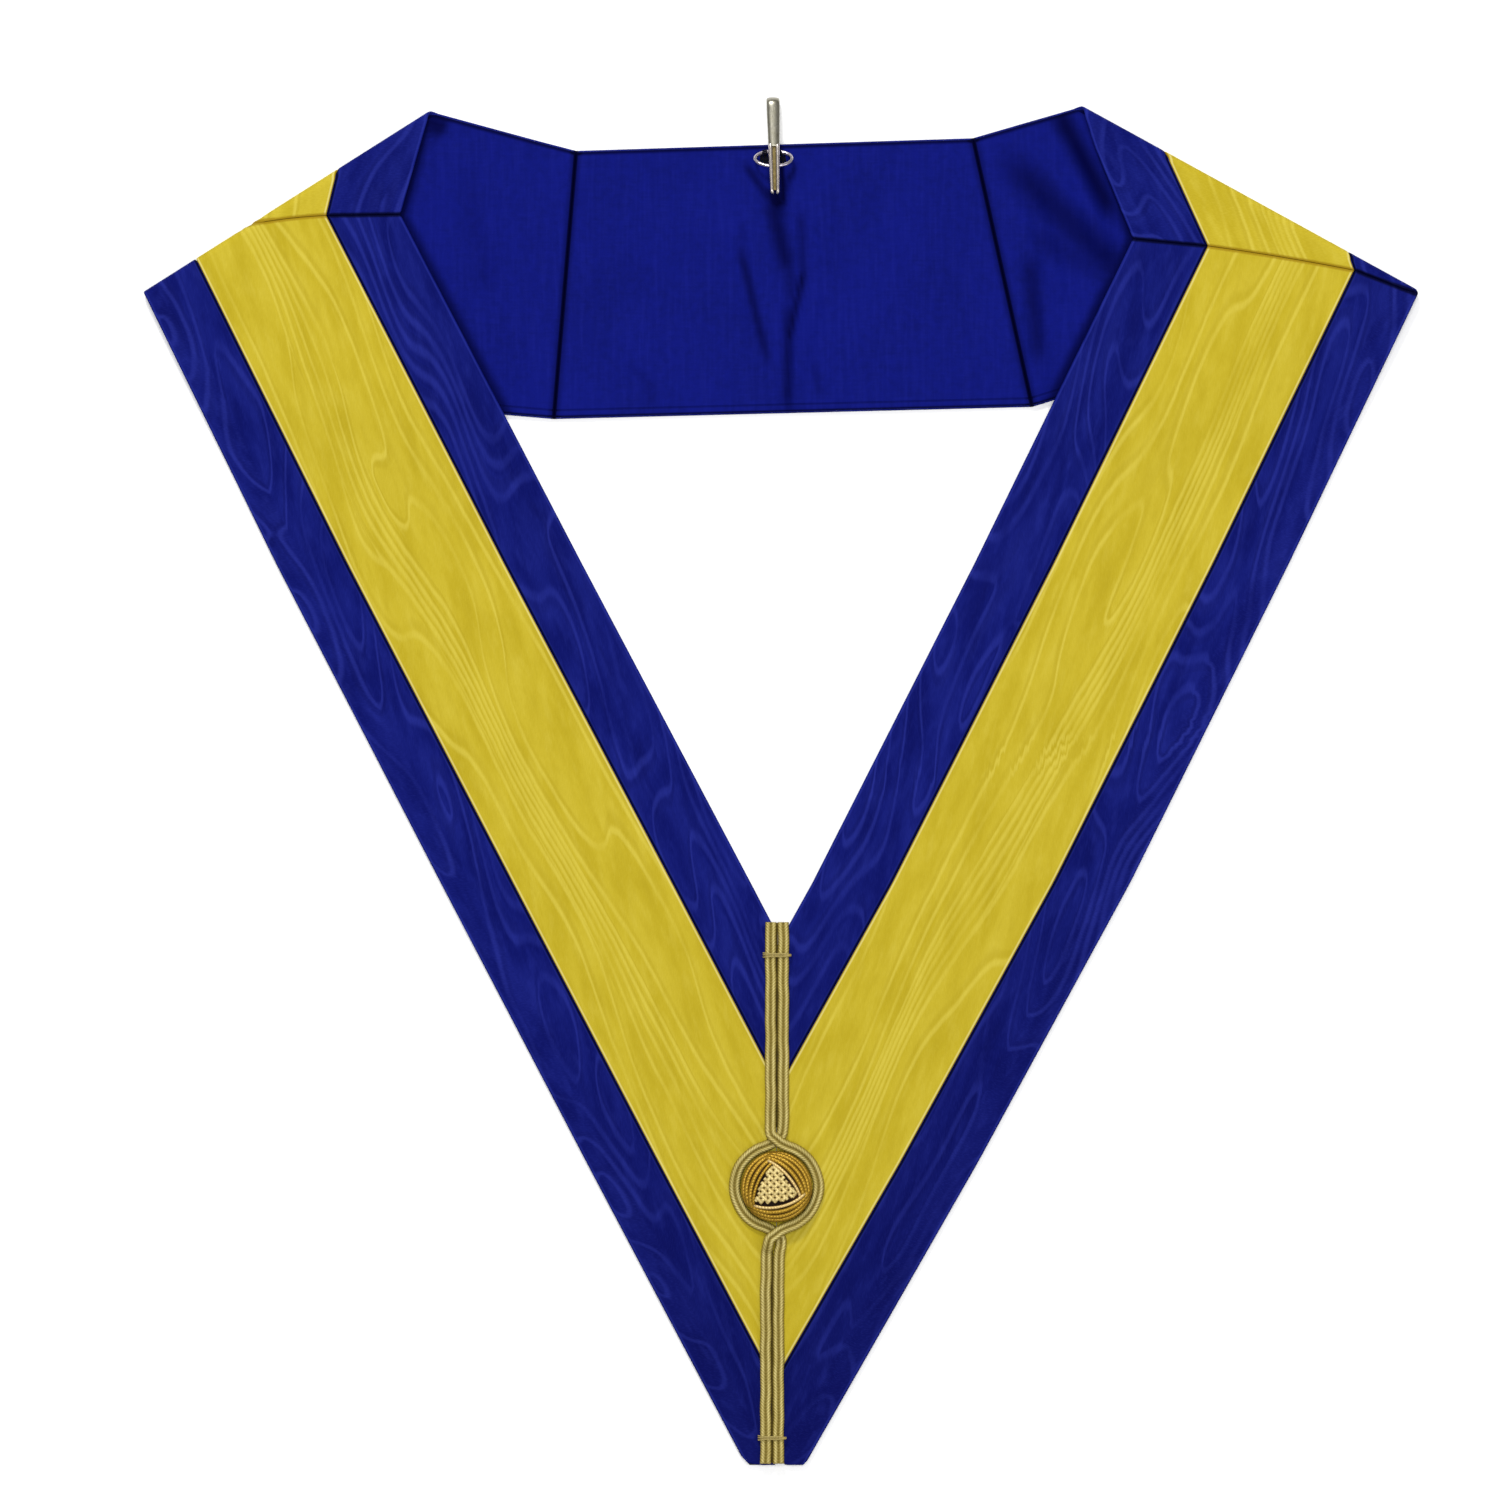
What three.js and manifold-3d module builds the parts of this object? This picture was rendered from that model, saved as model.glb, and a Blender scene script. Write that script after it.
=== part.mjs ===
import * as THREE from "three";
import Module from "manifold-3d";

// A masonic collar lying flat with its front up, in millimetres. Y runs from the point to the neck.
// Each ribbon leg is three strips sewn edge to edge over a lining. At each shoulder a mitred piece
// turns over a fold and runs under the leg to the back section, which shows its lining.

// The whole collar
const collarWidth = 467;
const collarLength = 498;

// Ribbon and lining
const ribbonWidth = 101.6;
const ribbonThickness = 1;
const liningThickness = 1;
const sewingGap = 0.3;
const foldedGap = 0.4;
const liningInset = 0.6;
const legDropLength = 48;
const creaseHeight = 1.1;
const creaseWidth = 7;

// Trim at the point
const braidWidth = 4.1;
const braidThickness = 1.8;
const buttonDiameter = 25.4;
const buttonGap = 0.6;
const buttonHeight = 9.5;
const tackThickness = 0.5;
const tackWidth = 1.6;

// Ring and hook at the neck
const ringLength = 14.7;
const ringWire = 1.2;
const hookLength = 36;
const hookWidth = 4.8;
const hookThickness = 1.8;
// How far they lie beside the middle line: the hook leans a little
const ringAside = -1.1;
const hookAside = { bend: -1.3, tips: -0.55 };

const halfWidth = collarWidth / 2;
const middle = -0.0086 * halfWidth;

// Strips of the ribbon, as shares of its width from the outer edge to the inner edge
const strips = [
  { name: "outer_border", from: 0, to: 0.23, colour: 0x1c2082 },
  { name: "yellow_band", from: 0.23, to: 0.75, colour: 0xcbb535 },
  { name: "inner_border", from: 0.75, to: 1, colour: 0x1c2082 },
];

// Measured corners of each side. Heights are shares of collarLength above the point, and
// positions across are shares of halfWidth from the middle of the collar.
const sides = {
  left: {
    sign: -1,
    // The leg at a few heights: outer edge, and width along the row as a share of the ribbon
    legRows: [
      { height: 0.9308, outer: 1.0715, width: 1.063 },
      { height: 0.6655, outer: 0.7956, width: 1.105 },
      { height: 0.4297, outer: 0.5362, width: 1.12 },
      { height: 0.2233, outer: 0.3066, width: 1.12 },
      { height: -0.02, outer: 0.0331, width: 1.12 },
    ],
    // Where the shoulder seam crosses the ribbon
    seam: [
      { across: 0, height: 0.8954 },
      { across: 0.23, height: 0.902 },
      { across: 0.75, height: 0.9212 },
      { across: 1, height: 0.9219 },
    ],
    fold: { outer: [1.003, 0.8652], inner: [0.555, 0.998] },
    dart: { foot: [0.3585, 0.7715], lean: 0.083, length: 0.972 },
    // How far the shoulder's lines bow from straight between the seam and the dart: shares of
    // the ribbon towards the neck, at the outer edge, the inner join and the inner edge
    bows: [
      { along: 0, outer: 0, join: 0, inner: 0 },
      { along: 0.4, outer: -0.01, join: 0, inner: 0.022 },
      { along: 0.86, outer: -0.03, join: 0, inner: 0.004 },
      { along: 1, outer: 0, join: 0, inner: 0 },
    ],
  },
  right: {
    sign: 1,
    legRows: [
      { height: 0.9308, outer: 1.0676, width: 1.1226 },
      { height: 0.6655, outer: 0.7972, width: 1.136 },
      { height: 0.4297, outer: 0.5472, width: 1.148 },
      { height: 0.2233, outer: 0.3074, width: 1.16 },
      { height: -0.02, outer: 0.0104, width: 1.17 },
    ],
    seam: [
      { across: 0, height: 0.863 },
      { across: 0.23, height: 0.8804 },
      { across: 0.75, height: 0.8988 },
      { across: 1, height: 0.904 },
    ],
    fold: { outer: [1.003, 0.8655], inner: [0.4827, 0.9993] },
    dart: { foot: [0.3931, 0.7804], lean: 0.215, length: 0.994 },
    bows: [
      { along: 0, outer: 0, join: 0, inner: 0 },
      { along: 0.4, outer: 0, join: 0.042, inner: 0.024 },
      { along: 0.86, outer: 0, join: 0, inner: 0.006 },
      { along: 1, outer: 0, join: 0, inner: 0 },
    ],
  },
};

// The blunt end of the point, as shares of halfWidth across and of collarLength up
const pointEnd = { flat: 0.042, flatHeight: 0.0008, corner: 0.0637, cornerHeight: 0.0118 };

// Soft creases of the back lining, each from its top to its foot. Across is a share of halfWidth,
// down a share of the back's height below the neck edge, and rise a share of creaseHeight.
const creases = [
  { topAcross: -0.075, topDown: 0.26, footAcross: -0.035, footDown: 0.7, rise: 0.8 },
  { topAcross: -0.02, topDown: 0.2, footAcross: 0.02, footDown: 0.6, rise: 0.6 },
  { topAcross: 0.062, topDown: 0.2, footAcross: 0.075, footDown: 0.45, rise: 0.7 },
  { topAcross: 0.055, topDown: 0.5, footAcross: 0.012, footDown: 0.98, rise: 1 },
  { topAcross: 0.078, topDown: 0.78, footAcross: 0.1, footDown: 0.98, rise: 0.6 },
];

// Distances of each layer from the middle of the fold
const liningNear = foldedGap / 2;
const liningFar = liningNear + liningThickness;
const ribbonNear = liningFar + sewingGap;
const ribbonFar = ribbonNear + ribbonThickness;
const foldHeight = ribbonFar;
const foldMean = 0.6 * ribbonFar;
const foldFacets = 6;
const foldArc = Math.PI * foldMean;
const legDrop = foldHeight + liningNear;
const ribbonTop = foldHeight + ribbonFar - legDrop;

function mix(a, b, share) {
  return a + (b - a) * share;
}

function smooth(share) {
  const t = Math.min(1, Math.max(0, share));
  return t * t * (3 - 2 * t);
}

// A line through two points, with the unit normal that points to the kept side
function lineThrough(a, b, kept) {
  const length = Math.hypot(b[0] - a[0], b[1] - a[1]);
  const line = { x: a[0], y: a[1], nx: (a[1] - b[1]) / length, ny: (b[0] - a[0]) / length };
  if (reach(line, kept) < 0) {
    line.nx = -line.nx;
    line.ny = -line.ny;
  }
  return line;
}

function reach(line, point) {
  return (point[0] - line.x) * line.nx + (point[1] - line.y) * line.ny;
}

function shifted(line, amount) {
  return { ...line, x: line.x + line.nx * amount, y: line.y + line.ny * amount };
}

// Splits a convex outline by a line into its kept part and the rest
function splitOutline(outline, line) {
  const kept = [];
  const rest = [];
  outline.forEach((point, index) => {
    const next = outline[(index + 1) % outline.length];
    const here = reach(line, point);
    const there = reach(line, next);
    if (here > -1e-6) {
      kept.push(point);
    }
    if (here < 1e-6) {
      rest.push(point);
    }
    if ((here > 1e-6 && there < -1e-6) || (here < -1e-6 && there > 1e-6)) {
      const share = here / (here - there);
      const cut = [mix(point[0], next[0], share), mix(point[1], next[1], share)];
      kept.push(cut);
      rest.push(cut);
    }
  });
  return [kept, rest];
}

function areaOf(outline) {
  return outline.reduce((sum, point, index) => {
    const next = outline[(index + 1) % outline.length];
    return sum + (point[0] * next[1] - next[0] * point[1]) / 2;
  }, 0);
}

function realOutlines(outlines) {
  return outlines.filter((outline) => outline.length > 2 && Math.abs(areaOf(outline)) > 1e-4);
}

function keepSide(cells, line) {
  return realOutlines(cells.map((cell) => splitOutline(cell, line)[0]));
}

function cutCells(cells, lines) {
  return lines.reduce(
    (parts, line) => realOutlines(parts.flatMap((cell) => splitOutline(cell, line))),
    cells,
  );
}

// A closed sheet over flat cells. Each point goes through place(x, y, layer) for both faces.
function sheetOver(cells, place, near, far) {
  const keys = new Map();
  const points = [];
  const triangles = [];
  const indexOf = (point) => {
    const key = Math.round(point[0] * 5000) + "/" + Math.round(point[1] * 5000);
    if (!keys.has(key)) {
      keys.set(key, points.length / 2);
      points.push(place(point[0], point[1], near), place(point[0], point[1], far));
    }
    return keys.get(key) * 2;
  };
  const edges = new Map();
  for (const cell of cells) {
    const round = areaOf(cell) > 0 ? cell : [...cell].reverse();
    const corners = round.map(indexOf).filter((index, i, list) => index !== list.at(i - 1));
    for (let i = 1; i + 1 < corners.length; i++) {
      triangles.push(corners[0] + 1, corners[i] + 1, corners[i + 1] + 1);
      triangles.push(corners[0], corners[i + 1], corners[i]);
    }
    corners.forEach((from, i) => edges.set(from + "/" + corners[(i + 1) % corners.length], from));
  }
  for (const key of edges.keys()) {
    const [from, to] = key.split("/").map(Number);
    if (!edges.has(to + "/" + from)) {
      triangles.push(from, to, to + 1, from, to + 1, from + 1);
    }
  }
  return geometryFrom(points, triangles);
}

function geometryFrom(points, triangles) {
  const geometry = new THREE.BufferGeometry();
  geometry.setAttribute("position", new THREE.Float32BufferAttribute(points.flat(), 3));
  geometry.setIndex(triangles);
  return geometry;
}

// Turns the faces round, for a sheet whose layers run downwards
function turnedRound(geometry) {
  const index = geometry.index.array;
  for (let i = 0; i < index.length; i += 3) {
    [index[i + 1], index[i + 2]] = [index[i + 2], index[i + 1]];
  }
  return geometry;
}

// A point of a leg at a height, at a share of the ribbon's width in from the outer edge
function legPoint(side, across, height) {
  const rows = side.legRows;
  const found = rows.findIndex((row) => row.height <= height);
  const below = Math.min(rows.length - 1, Math.max(1, found < 0 ? rows.length - 1 : found));
  const low = rows[below];
  const high = rows[below - 1];
  const share = (height - low.height) / (high.height - low.height);
  const outer = mix(low.outer, high.outer, share) * halfWidth;
  const width = mix(low.width, high.width, share) * ribbonWidth;
  return [side.sign * (outer - across * width), height * collarLength];
}

// A point of the shoulder seam, moved along the leg by lift millimetres
function seamPoint(side, across, lift) {
  const rows = side.seam;
  const after = Math.max(1, rows.findIndex((row) => row.across >= across));
  const from = rows[after - 1];
  const to = rows[after];
  const height = mix(from.height, to.height, (across - from.across) / (to.across - from.across));
  return legPoint(side, across, height + lift / collarLength);
}

// The fold's axis, a layer's outer radius inside the edge that shows
function foldAxis(side) {
  const [outer, inner] = [side.fold.outer, side.fold.inner].map(([across, height]) => [
    side.sign * across * halfWidth,
    height * collarLength,
  ]);
  return shifted(lineThrough(outer, inner, [0, 0]), ribbonFar);
}

// A point of the dart seam as it lies under the fold, moved away from the middle by aside
function dartLying(side, across, aside) {
  const { foot, lean, length } = side.dart;
  const up = across * length * ribbonWidth;
  return [
    side.sign * (foot[0] * halfWidth - lean * up + aside),
    foot[1] * collarLength + Math.sqrt(1 - lean * lean) * up,
  ];
}

// The same point in the shoulder's flat pattern, opened out about the fold
function openedOut(side, point) {
  const axis = foldAxis(side);
  const back = 2 * reach(axis, point) + foldArc;
  return [point[0] - axis.nx * back, point[1] - axis.ny * back];
}

// The lower edge of the shoulder where it lies under the leg
function lowerEdge(side) {
  const start = foldedPoint(side, seamPoint(side, 0, 0), 0);
  return lineThrough(start, dartLying(side, 0, 0), [0, 0]);
}

// Height of a soft crease in the back lining at a point
function creaseRise(x, y) {
  const neck = dartLying(sides.left, 1, 0)[1];
  const backHeight = neck - dartLying(sides.left, 0, 0)[1];
  return creases.reduce((rise, crease) => {
    const top = [crease.topAcross * halfWidth, neck - crease.topDown * backHeight];
    const foot = [crease.footAcross * halfWidth, neck - crease.footDown * backHeight];
    const run = [foot[0] - top[0], foot[1] - top[1]];
    const length = Math.hypot(...run);
    const along = ((x - top[0]) * run[0] + (y - top[1]) * run[1]) / length;
    const beside = Math.abs((x - top[0]) * run[1] - (y - top[1]) * run[0]) / length;
    const ends = smooth(along / creaseWidth) * smooth((length - along) / creaseWidth);
    return rise + crease.rise * creaseHeight * ends * smooth(1 - beside / creaseWidth);
  }, 0);
}

// A flat point of a side carried round the fold
function foldedPoint(side, point, layer) {
  const axis = foldAxis(side);
  const inside = reach(axis, point);
  if (inside >= 0) {
    return [point[0], point[1], foldHeight + layer];
  }
  const angle = Math.min(Math.PI, -inside / foldMean);
  const past = Math.max(0, -inside - foldArc);
  const move = past - layer * Math.sin(angle) - inside;
  return [
    point[0] + axis.nx * move,
    point[1] + axis.ny * move,
    foldHeight + layer * Math.cos(angle),
  ];
}

// The whole placing of a side: the fold, then the leg's drop to the table below the back
function placeOn(side) {
  const edge = lowerEdge(side);
  return (x, y, layer) => {
    const placed = foldedPoint(side, [x, y], layer);
    if (reach(foldAxis(side), [x, y]) >= 0) {
      placed[2] -= legDrop * smooth((reach(edge, [x, y]) - 2) / legDropLength);
    }
    return placed;
  };
}

function foldLines(side) {
  const axis = foldAxis(side);
  return Array.from({ length: foldFacets + 1 }, (_, step) =>
    shifted(axis, (-foldArc * step) / foldFacets),
  );
}

function dropLines(side) {
  const edge = lowerEdge(side);
  return Array.from({ length: 8 }, (_, step) => shifted(edge, 2 + (legDropLength * step) / 7));
}

// The cells of a leg between two shares of the ribbon, down to the middle and the blunt point
function legCells(side, from, to) {
  let cells = side.legRows.slice(1).map((row, index) => {
    const above = side.legRows[index].height;
    return [
      legPoint(side, from, above),
      legPoint(side, to, above),
      legPoint(side, to, row.height),
      legPoint(side, from, row.height),
    ];
  });
  const inside = legPoint(side, 0.5, 0.5);
  const drop = -sewingGap / 2;
  const seam = [seamPoint(side, from, drop), seamPoint(side, to, drop)];
  cells = keepSide(cells, lineThrough(seam[0], seam[1], inside));
  const centre = middle + (side.sign * sewingGap) / 2;
  cells = keepSide(cells, lineThrough([centre, 0], [centre, 1], inside));
  const flatHeight = pointEnd.flatHeight * collarLength;
  cells = keepSide(cells, lineThrough([0, flatHeight], [1, flatHeight], inside));
  const flatEnd = [middle + side.sign * pointEnd.flat * halfWidth, flatHeight];
  const cornerHeight = pointEnd.cornerHeight * collarLength;
  const corner = [middle + side.sign * pointEnd.corner * halfWidth, cornerHeight];
  return keepSide(cells, lineThrough(flatEnd, corner, inside));
}

// A point of a shoulder in its flat pattern, at a share across the ribbon and a row of its bows
function shoulderPoint(side, across, bow) {
  const start = seamPoint(side, across, sewingGap);
  const end = openedOut(side, dartLying(side, across, sewingGap / 2));
  const run = [end[0] - start[0], end[1] - start[1]];
  const length = Math.hypot(...run);
  const join = strips[2].from;
  const push =
    across < join
      ? mix(bow.outer, bow.join, across / join)
      : mix(bow.join, bow.inner, (across - join) / (1 - join));
  const away = (-side.sign * push * ribbonWidth) / length;
  return [start[0] + run[0] * bow.along + run[1] * away, start[1] + run[1] * bow.along - run[0] * away];
}

// The cells of a shoulder between two shares of the ribbon, in its flat pattern
function shoulderCells(side, from, to) {
  return side.bows.slice(1).map((bow, index) => [
    shoulderPoint(side, from, side.bows[index]),
    shoulderPoint(side, to, side.bows[index]),
    shoulderPoint(side, to, bow),
    shoulderPoint(side, from, bow),
  ]);
}

// The cells of the back section between its two darts, as it lies
function backCells(from, to, columns) {
  const corner = (side, across) => dartLying(side, across, -sewingGap / 2);
  const at = (across, share) =>
    [0, 1].map((axis) =>
      mix(corner(sides.left, across)[axis], corner(sides.right, across)[axis], share),
    );
  const cells = [];
  for (let column = 0; column < columns; column++) {
    const start = column / columns;
    const end = (column + 1) / columns;
    cells.push([at(from, start), at(from, end), at(to, end), at(to, start)]);
  }
  return cells;
}

const placeBack = (rise) => (x, y, layer) => [x, y, foldHeight - layer + (rise ? creaseRise(x, y) : 0)];

function stripSpan(strip) {
  const half = sewingGap / 2 / ribbonWidth;
  return [strip.from + (strip.from > 0 ? half : 0), strip.to - (strip.to < 1 ? half : 0)];
}

// Shares of the ribbon where the lining's cells meet, set in a little from both edges
const inset = liningInset / ribbonWidth;
const liningShares = [inset, 0.23, 0.75, 1 - inset];

function liningCells(cellsBetween) {
  return liningShares.slice(1).flatMap((to, index) => cellsBetween(liningShares[index], to));
}

const collar = new THREE.Group();
collar.name = "masonic_collar";

function addPiece(name, geometry, colour, roughness, metalness) {
  const material = new THREE.MeshStandardMaterial({ color: colour, roughness, metalness });
  const mesh = new THREE.Mesh(geometry, material);
  mesh.name = name;
  collar.add(mesh);
}

function addCloth(name, geometry, colour) {
  addPiece(name, geometry, colour, 0.75, 0);
}

const liningColour = 0x161a7c;

for (const [sideName, side] of Object.entries(sides)) {
  const place = placeOn(side);
  const legCuts = [...foldLines(side), ...dropLines(side)];
  const shoulderCuts = foldLines(side);
  for (const strip of strips) {
    const [from, to] = stripSpan(strip);
    const leg = cutCells(legCells(side, from, to), legCuts);
    addCloth(`leg_${sideName}_${strip.name}`, sheetOver(leg, place, ribbonNear, ribbonFar), strip.colour);
    const shoulder = cutCells(shoulderCells(side, from, to), shoulderCuts);
    const shoulderSheet = sheetOver(shoulder, place, ribbonNear, ribbonFar);
    addCloth(`shoulder_${sideName}_${strip.name}`, shoulderSheet, strip.colour);
  }
  const legLining = cutCells(liningCells((from, to) => legCells(side, from, to)), legCuts);
  addCloth(`leg_${sideName}_lining`, sheetOver(legLining, place, liningNear, liningFar), liningColour);
  const shoulderLining = cutCells(
    liningCells((from, to) => shoulderCells(side, from, to)),
    shoulderCuts,
  );
  const shoulderLiningSheet = sheetOver(shoulderLining, place, liningNear, liningFar);
  addCloth(`shoulder_${sideName}_lining`, shoulderLiningSheet, liningColour);
}

for (const strip of strips) {
  const [from, to] = stripSpan(strip);
  const back = sheetOver(backCells(from, to, 1), placeBack(false), ribbonNear, ribbonFar);
  addCloth(`back_${strip.name}`, turnedRound(back), strip.colour);
}

// The back lining is cut finely enough to carry its creases
const liningRows = 14;
const backLiningCells = Array.from({ length: liningRows }, (_, row) =>
  backCells(
    mix(inset, 1 - inset, row / liningRows),
    mix(inset, 1 - inset, (row + 1) / liningRows),
    44,
  ),
).flat();
addCloth(
  "back_lining",
  turnedRound(sheetOver(backLiningCells, placeBack(true), liningNear, liningFar)),
  liningColour,
);

// A closed bar swept along a path. Each row gives its own section in the plane across the path.
function sweptBar(rows, sectionAt) {
  const points = [];
  const triangles = [];
  let count = 0;
  rows.forEach((row, index) => {
    const before = rows[Math.max(0, index - 1)].at;
    const after = rows[Math.min(rows.length - 1, index + 1)].at;
    const forward = new THREE.Vector3().subVectors(after, before).normalize();
    const across = new THREE.Vector3().crossVectors(forward, row.up).normalize();
    const up = new THREE.Vector3().crossVectors(across, forward);
    const section = sectionAt(row);
    count = section.length;
    for (const [side, rise] of section) {
      const point = row.at.clone().addScaledVector(across, side).addScaledVector(up, rise);
      points.push(point.toArray());
    }
    if (index > 0) {
      const first = (index - 1) * count;
      for (let i = 0; i < count; i++) {
        const next = (i + 1) % count;
        triangles.push(first + i, first + count + next, first + next);
        triangles.push(first + i, first + count + i, first + count + next);
      }
    }
  });
  const last = (rows.length - 1) * count;
  const shape = sectionAt(rows[0]).map(([x, y]) => new THREE.Vector2(x, y));
  for (const [a, b, c] of THREE.ShapeUtils.triangulateShape(shape, [])) {
    triangles.push(a, b, c, last + a, last + c, last + b);
  }
  return geometryFrom(points, triangles);
}

// The button and the two braids that part around it
const buttonAt = { x: middle, y: 0.206 * collarLength };
const trimHeight = ribbonTop + sewingGap;
const ringRadius = buttonDiameter / 2 + buttonGap + braidWidth / 2;
const braidPitch = braidWidth + 0.9;
const notchHeight = crossingHeight();
const braidTop = notchHeight + 4.4;
const braidFoot = 0.002 * collarLength;

// How far the pair of braids strays from the middle line above and below the button
const braidAside = { above: 0.2, below: -1.6 };

// The height where the inner edges of the two legs meet the middle
function crossingHeight() {
  let height = 0.8;
  while (height > 0.1 && Math.abs(legPoint(sides.left, 1, height)[0]) > Math.abs(middle)) {
    height -= 0.002;
  }
  return height * collarLength;
}

// The braid's way past the button: angle round the ring from its top, and its turn at each crossing
const crossingRows = [
  { aside: -0.5, away: 1.62, lift: 0 },
  { aside: -0.5, away: 1.47, lift: 0.45 },
  { aside: -0.47, away: 1.34, lift: 0.95 },
  { aside: -0.38, away: 1.235, lift: 1 },
  { aside: 0, away: 1.135, lift: 1 },
  { aside: 0.3, away: 1.05, lift: 1 },
];
const ringAngles = { first: 15, last: 165, steps: 14 };

function braidRows(hand, over) {
  const rows = [];
  const up = new THREE.Vector3(0, 0, 1);
  const lift = over ? braidThickness + sewingGap : 0;
  const add = (x, y, share) => {
    const away = (y - buttonAt.y) / ringRadius;
    const stray = away > 0 ? braidAside.above : braidAside.below;
    const aside = hand * x + stray * smooth(Math.abs(away) - 0.9);
    rows.push({ at: new THREE.Vector3(buttonAt.x + aside, y, trimHeight + share * lift), up });
  };
  const start = buttonAt.y + crossingRows[0].away * ringRadius;
  for (let step = 0; step < 6; step++) {
    add(-braidPitch / 2, mix(braidTop, start, step / 6), 0);
  }
  for (const row of crossingRows) {
    add(row.aside * braidPitch, buttonAt.y + row.away * ringRadius, row.lift);
  }
  const { first, last, steps } = ringAngles;
  for (let step = 0; step <= steps; step++) {
    const angle = (mix(first, last, step / steps) * Math.PI) / 180;
    const share = smooth((Math.abs(Math.cos(angle)) - 0.6) / 0.28);
    add(Math.sin(angle) * ringRadius, buttonAt.y + Math.cos(angle) * ringRadius, share);
  }
  for (const row of [...crossingRows].reverse()) {
    add(row.aside * braidPitch, buttonAt.y - row.away * ringRadius, row.lift);
  }
  const end = buttonAt.y - crossingRows[0].away * ringRadius;
  for (let step = 1; step <= 6; step++) {
    add(-braidPitch / 2, mix(end, braidFoot, step / 6), 0);
  }
  return rows;
}

// Two rounded ridges with a groove between them
const braidSection = [
  [-0.5, 0],
  [0.5, 0],
  [0.5, 0.5],
  [0.36, 0.92],
  [0.2, 1],
  [0, 0.55],
  [-0.2, 1],
  [-0.36, 0.92],
  [-0.5, 0.5],
].map(([across, rise]) => [across * braidWidth, rise * braidThickness]);

addCloth("braid_left", sweptBar(braidRows(1, true), () => braidSection), 0xbeaa6e);
addCloth("braid_right", sweptBar(braidRows(-1, false), () => braidSection), 0xbeaa6e);

// A thread tack that bridges both braids
function tackGeometry() {
  const half = braidPitch / 2 + braidWidth / 2 + sewingGap;
  const under = braidThickness + sewingGap;
  const shape = new THREE.Shape();
  const outline = [
    [-half - tackThickness, 0],
    [-half, 0],
    [-half, under],
    [half, under],
    [half, 0],
    [half + tackThickness, 0],
    [half + tackThickness, under + 0.4 * tackThickness],
    [half, under + tackThickness],
    [-half, under + tackThickness],
    [-half - tackThickness, under + 0.4 * tackThickness],
  ];
  shape.setFromPoints(outline.map(([x, y]) => new THREE.Vector2(x, y)));
  const geometry = new THREE.ExtrudeGeometry(shape, { depth: tackWidth, bevelEnabled: false });
  return geometry.rotateX(Math.PI / 2).translate(middle, tackWidth / 2, trimHeight);
}

const tacks = {
  braid_tack_top: { aside: braidAside.above, height: braidTop - 2.95 * braidWidth },
  braid_tack_bottom: { aside: braidAside.below, height: braidFoot + 2.3 * braidWidth },
};
for (const [name, { aside, height }] of Object.entries(tacks)) {
  addCloth(name, tackGeometry().translate(aside, height, 0), 0xcdbb82);
}

// The thread-wound button: a low dome whose middle stands up as a soft triangle
const buttonSectors = 30;
const buttonProfile = [
  { out: 1, rise: 0.16 },
  { out: 0.985, rise: 0.36 },
  { out: 0.92, rise: 0.58 },
  { out: 0.8, rise: 0.76 },
  { out: 0.64, rise: 0.885 },
  { out: 0.46, rise: 0.95 },
  { out: 0.24, rise: 0.99 },
];
const triangleCorners = [104, 206, 354];

function buttonGeometry() {
  const radius = buttonDiameter / 2;
  const points = [[0, 0, 0]];
  const triangles = [];
  const rings = [{ out: 0.86, rise: 0 }, ...buttonProfile];
  rings.forEach(({ out, rise }) => {
    for (let sector = 0; sector < buttonSectors; sector++) {
      const angle = (2 * Math.PI * sector) / buttonSectors;
      const x = Math.cos(angle) * out * radius;
      const y = Math.sin(angle) * out * radius;
      const reaches = triangleCorners.map((corner) => {
        const turn = ((corner + 180) * Math.PI) / 180;
        return (x * Math.cos(turn) + y * Math.sin(turn)) / radius;
      });
      const dent = smooth((Math.max(...reaches) - 0.36) / 0.12) * smooth((1 - out) * 4);
      points.push([x, y, (rise - 0.035 * dent) * buttonHeight]);
    }
  });
  const top = points.length;
  points.push([0, 0, buttonHeight]);
  for (let sector = 0; sector < buttonSectors; sector++) {
    const next = (sector + 1) % buttonSectors;
    triangles.push(0, 1 + next, 1 + sector);
    for (let ring = 0; ring + 1 < rings.length; ring++) {
      const low = 1 + ring * buttonSectors;
      const high = low + buttonSectors;
      triangles.push(low + sector, low + next, high + next);
      triangles.push(low + sector, high + next, high + sector);
    }
    const last = 1 + (rings.length - 1) * buttonSectors;
    triangles.push(last + sector, last + next, top);
  }
  return geometryFrom(points, triangles).translate(buttonAt.x, buttonAt.y, trimHeight);
}

addPiece("button", buttonGeometry(), 0xc4963c, 0.6, 0.1);

// The neck ring, its low side on the lining and its far side raised over the hook's lower limb
const hookSlope = 0.2;
const hookLimb = 1;
const neckMiddle = neckHeightAt(middle);
const liningTop = foldHeight - liningNear;
const hookEnd = neckMiddle + 0.489 * hookLength;
const ringLow = neckMiddle - 1.4 - ringWire;
const ringLowHeight = liningTop + sewingGap + ringWire / 2;
const ringReach = 0.375 * ringLength;
const hookUnder = ringLowHeight + ringWire / 2 + sewingGap - hookSlope * (hookEnd - ringLow);
const limbAtFar = hookUnder + hookSlope * (hookEnd - ringLow + ringReach) + hookLimb;
const ringFarHeight = limbAtFar + 0.5 + sewingGap + ringWire / 2;

function neckHeightAt(x) {
  const [left, right] = [dartLying(sides.left, 1, 0), dartLying(sides.right, 1, 0)];
  return mix(left[1], right[1], (x - left[0]) / (right[0] - left[0]));
}

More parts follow.
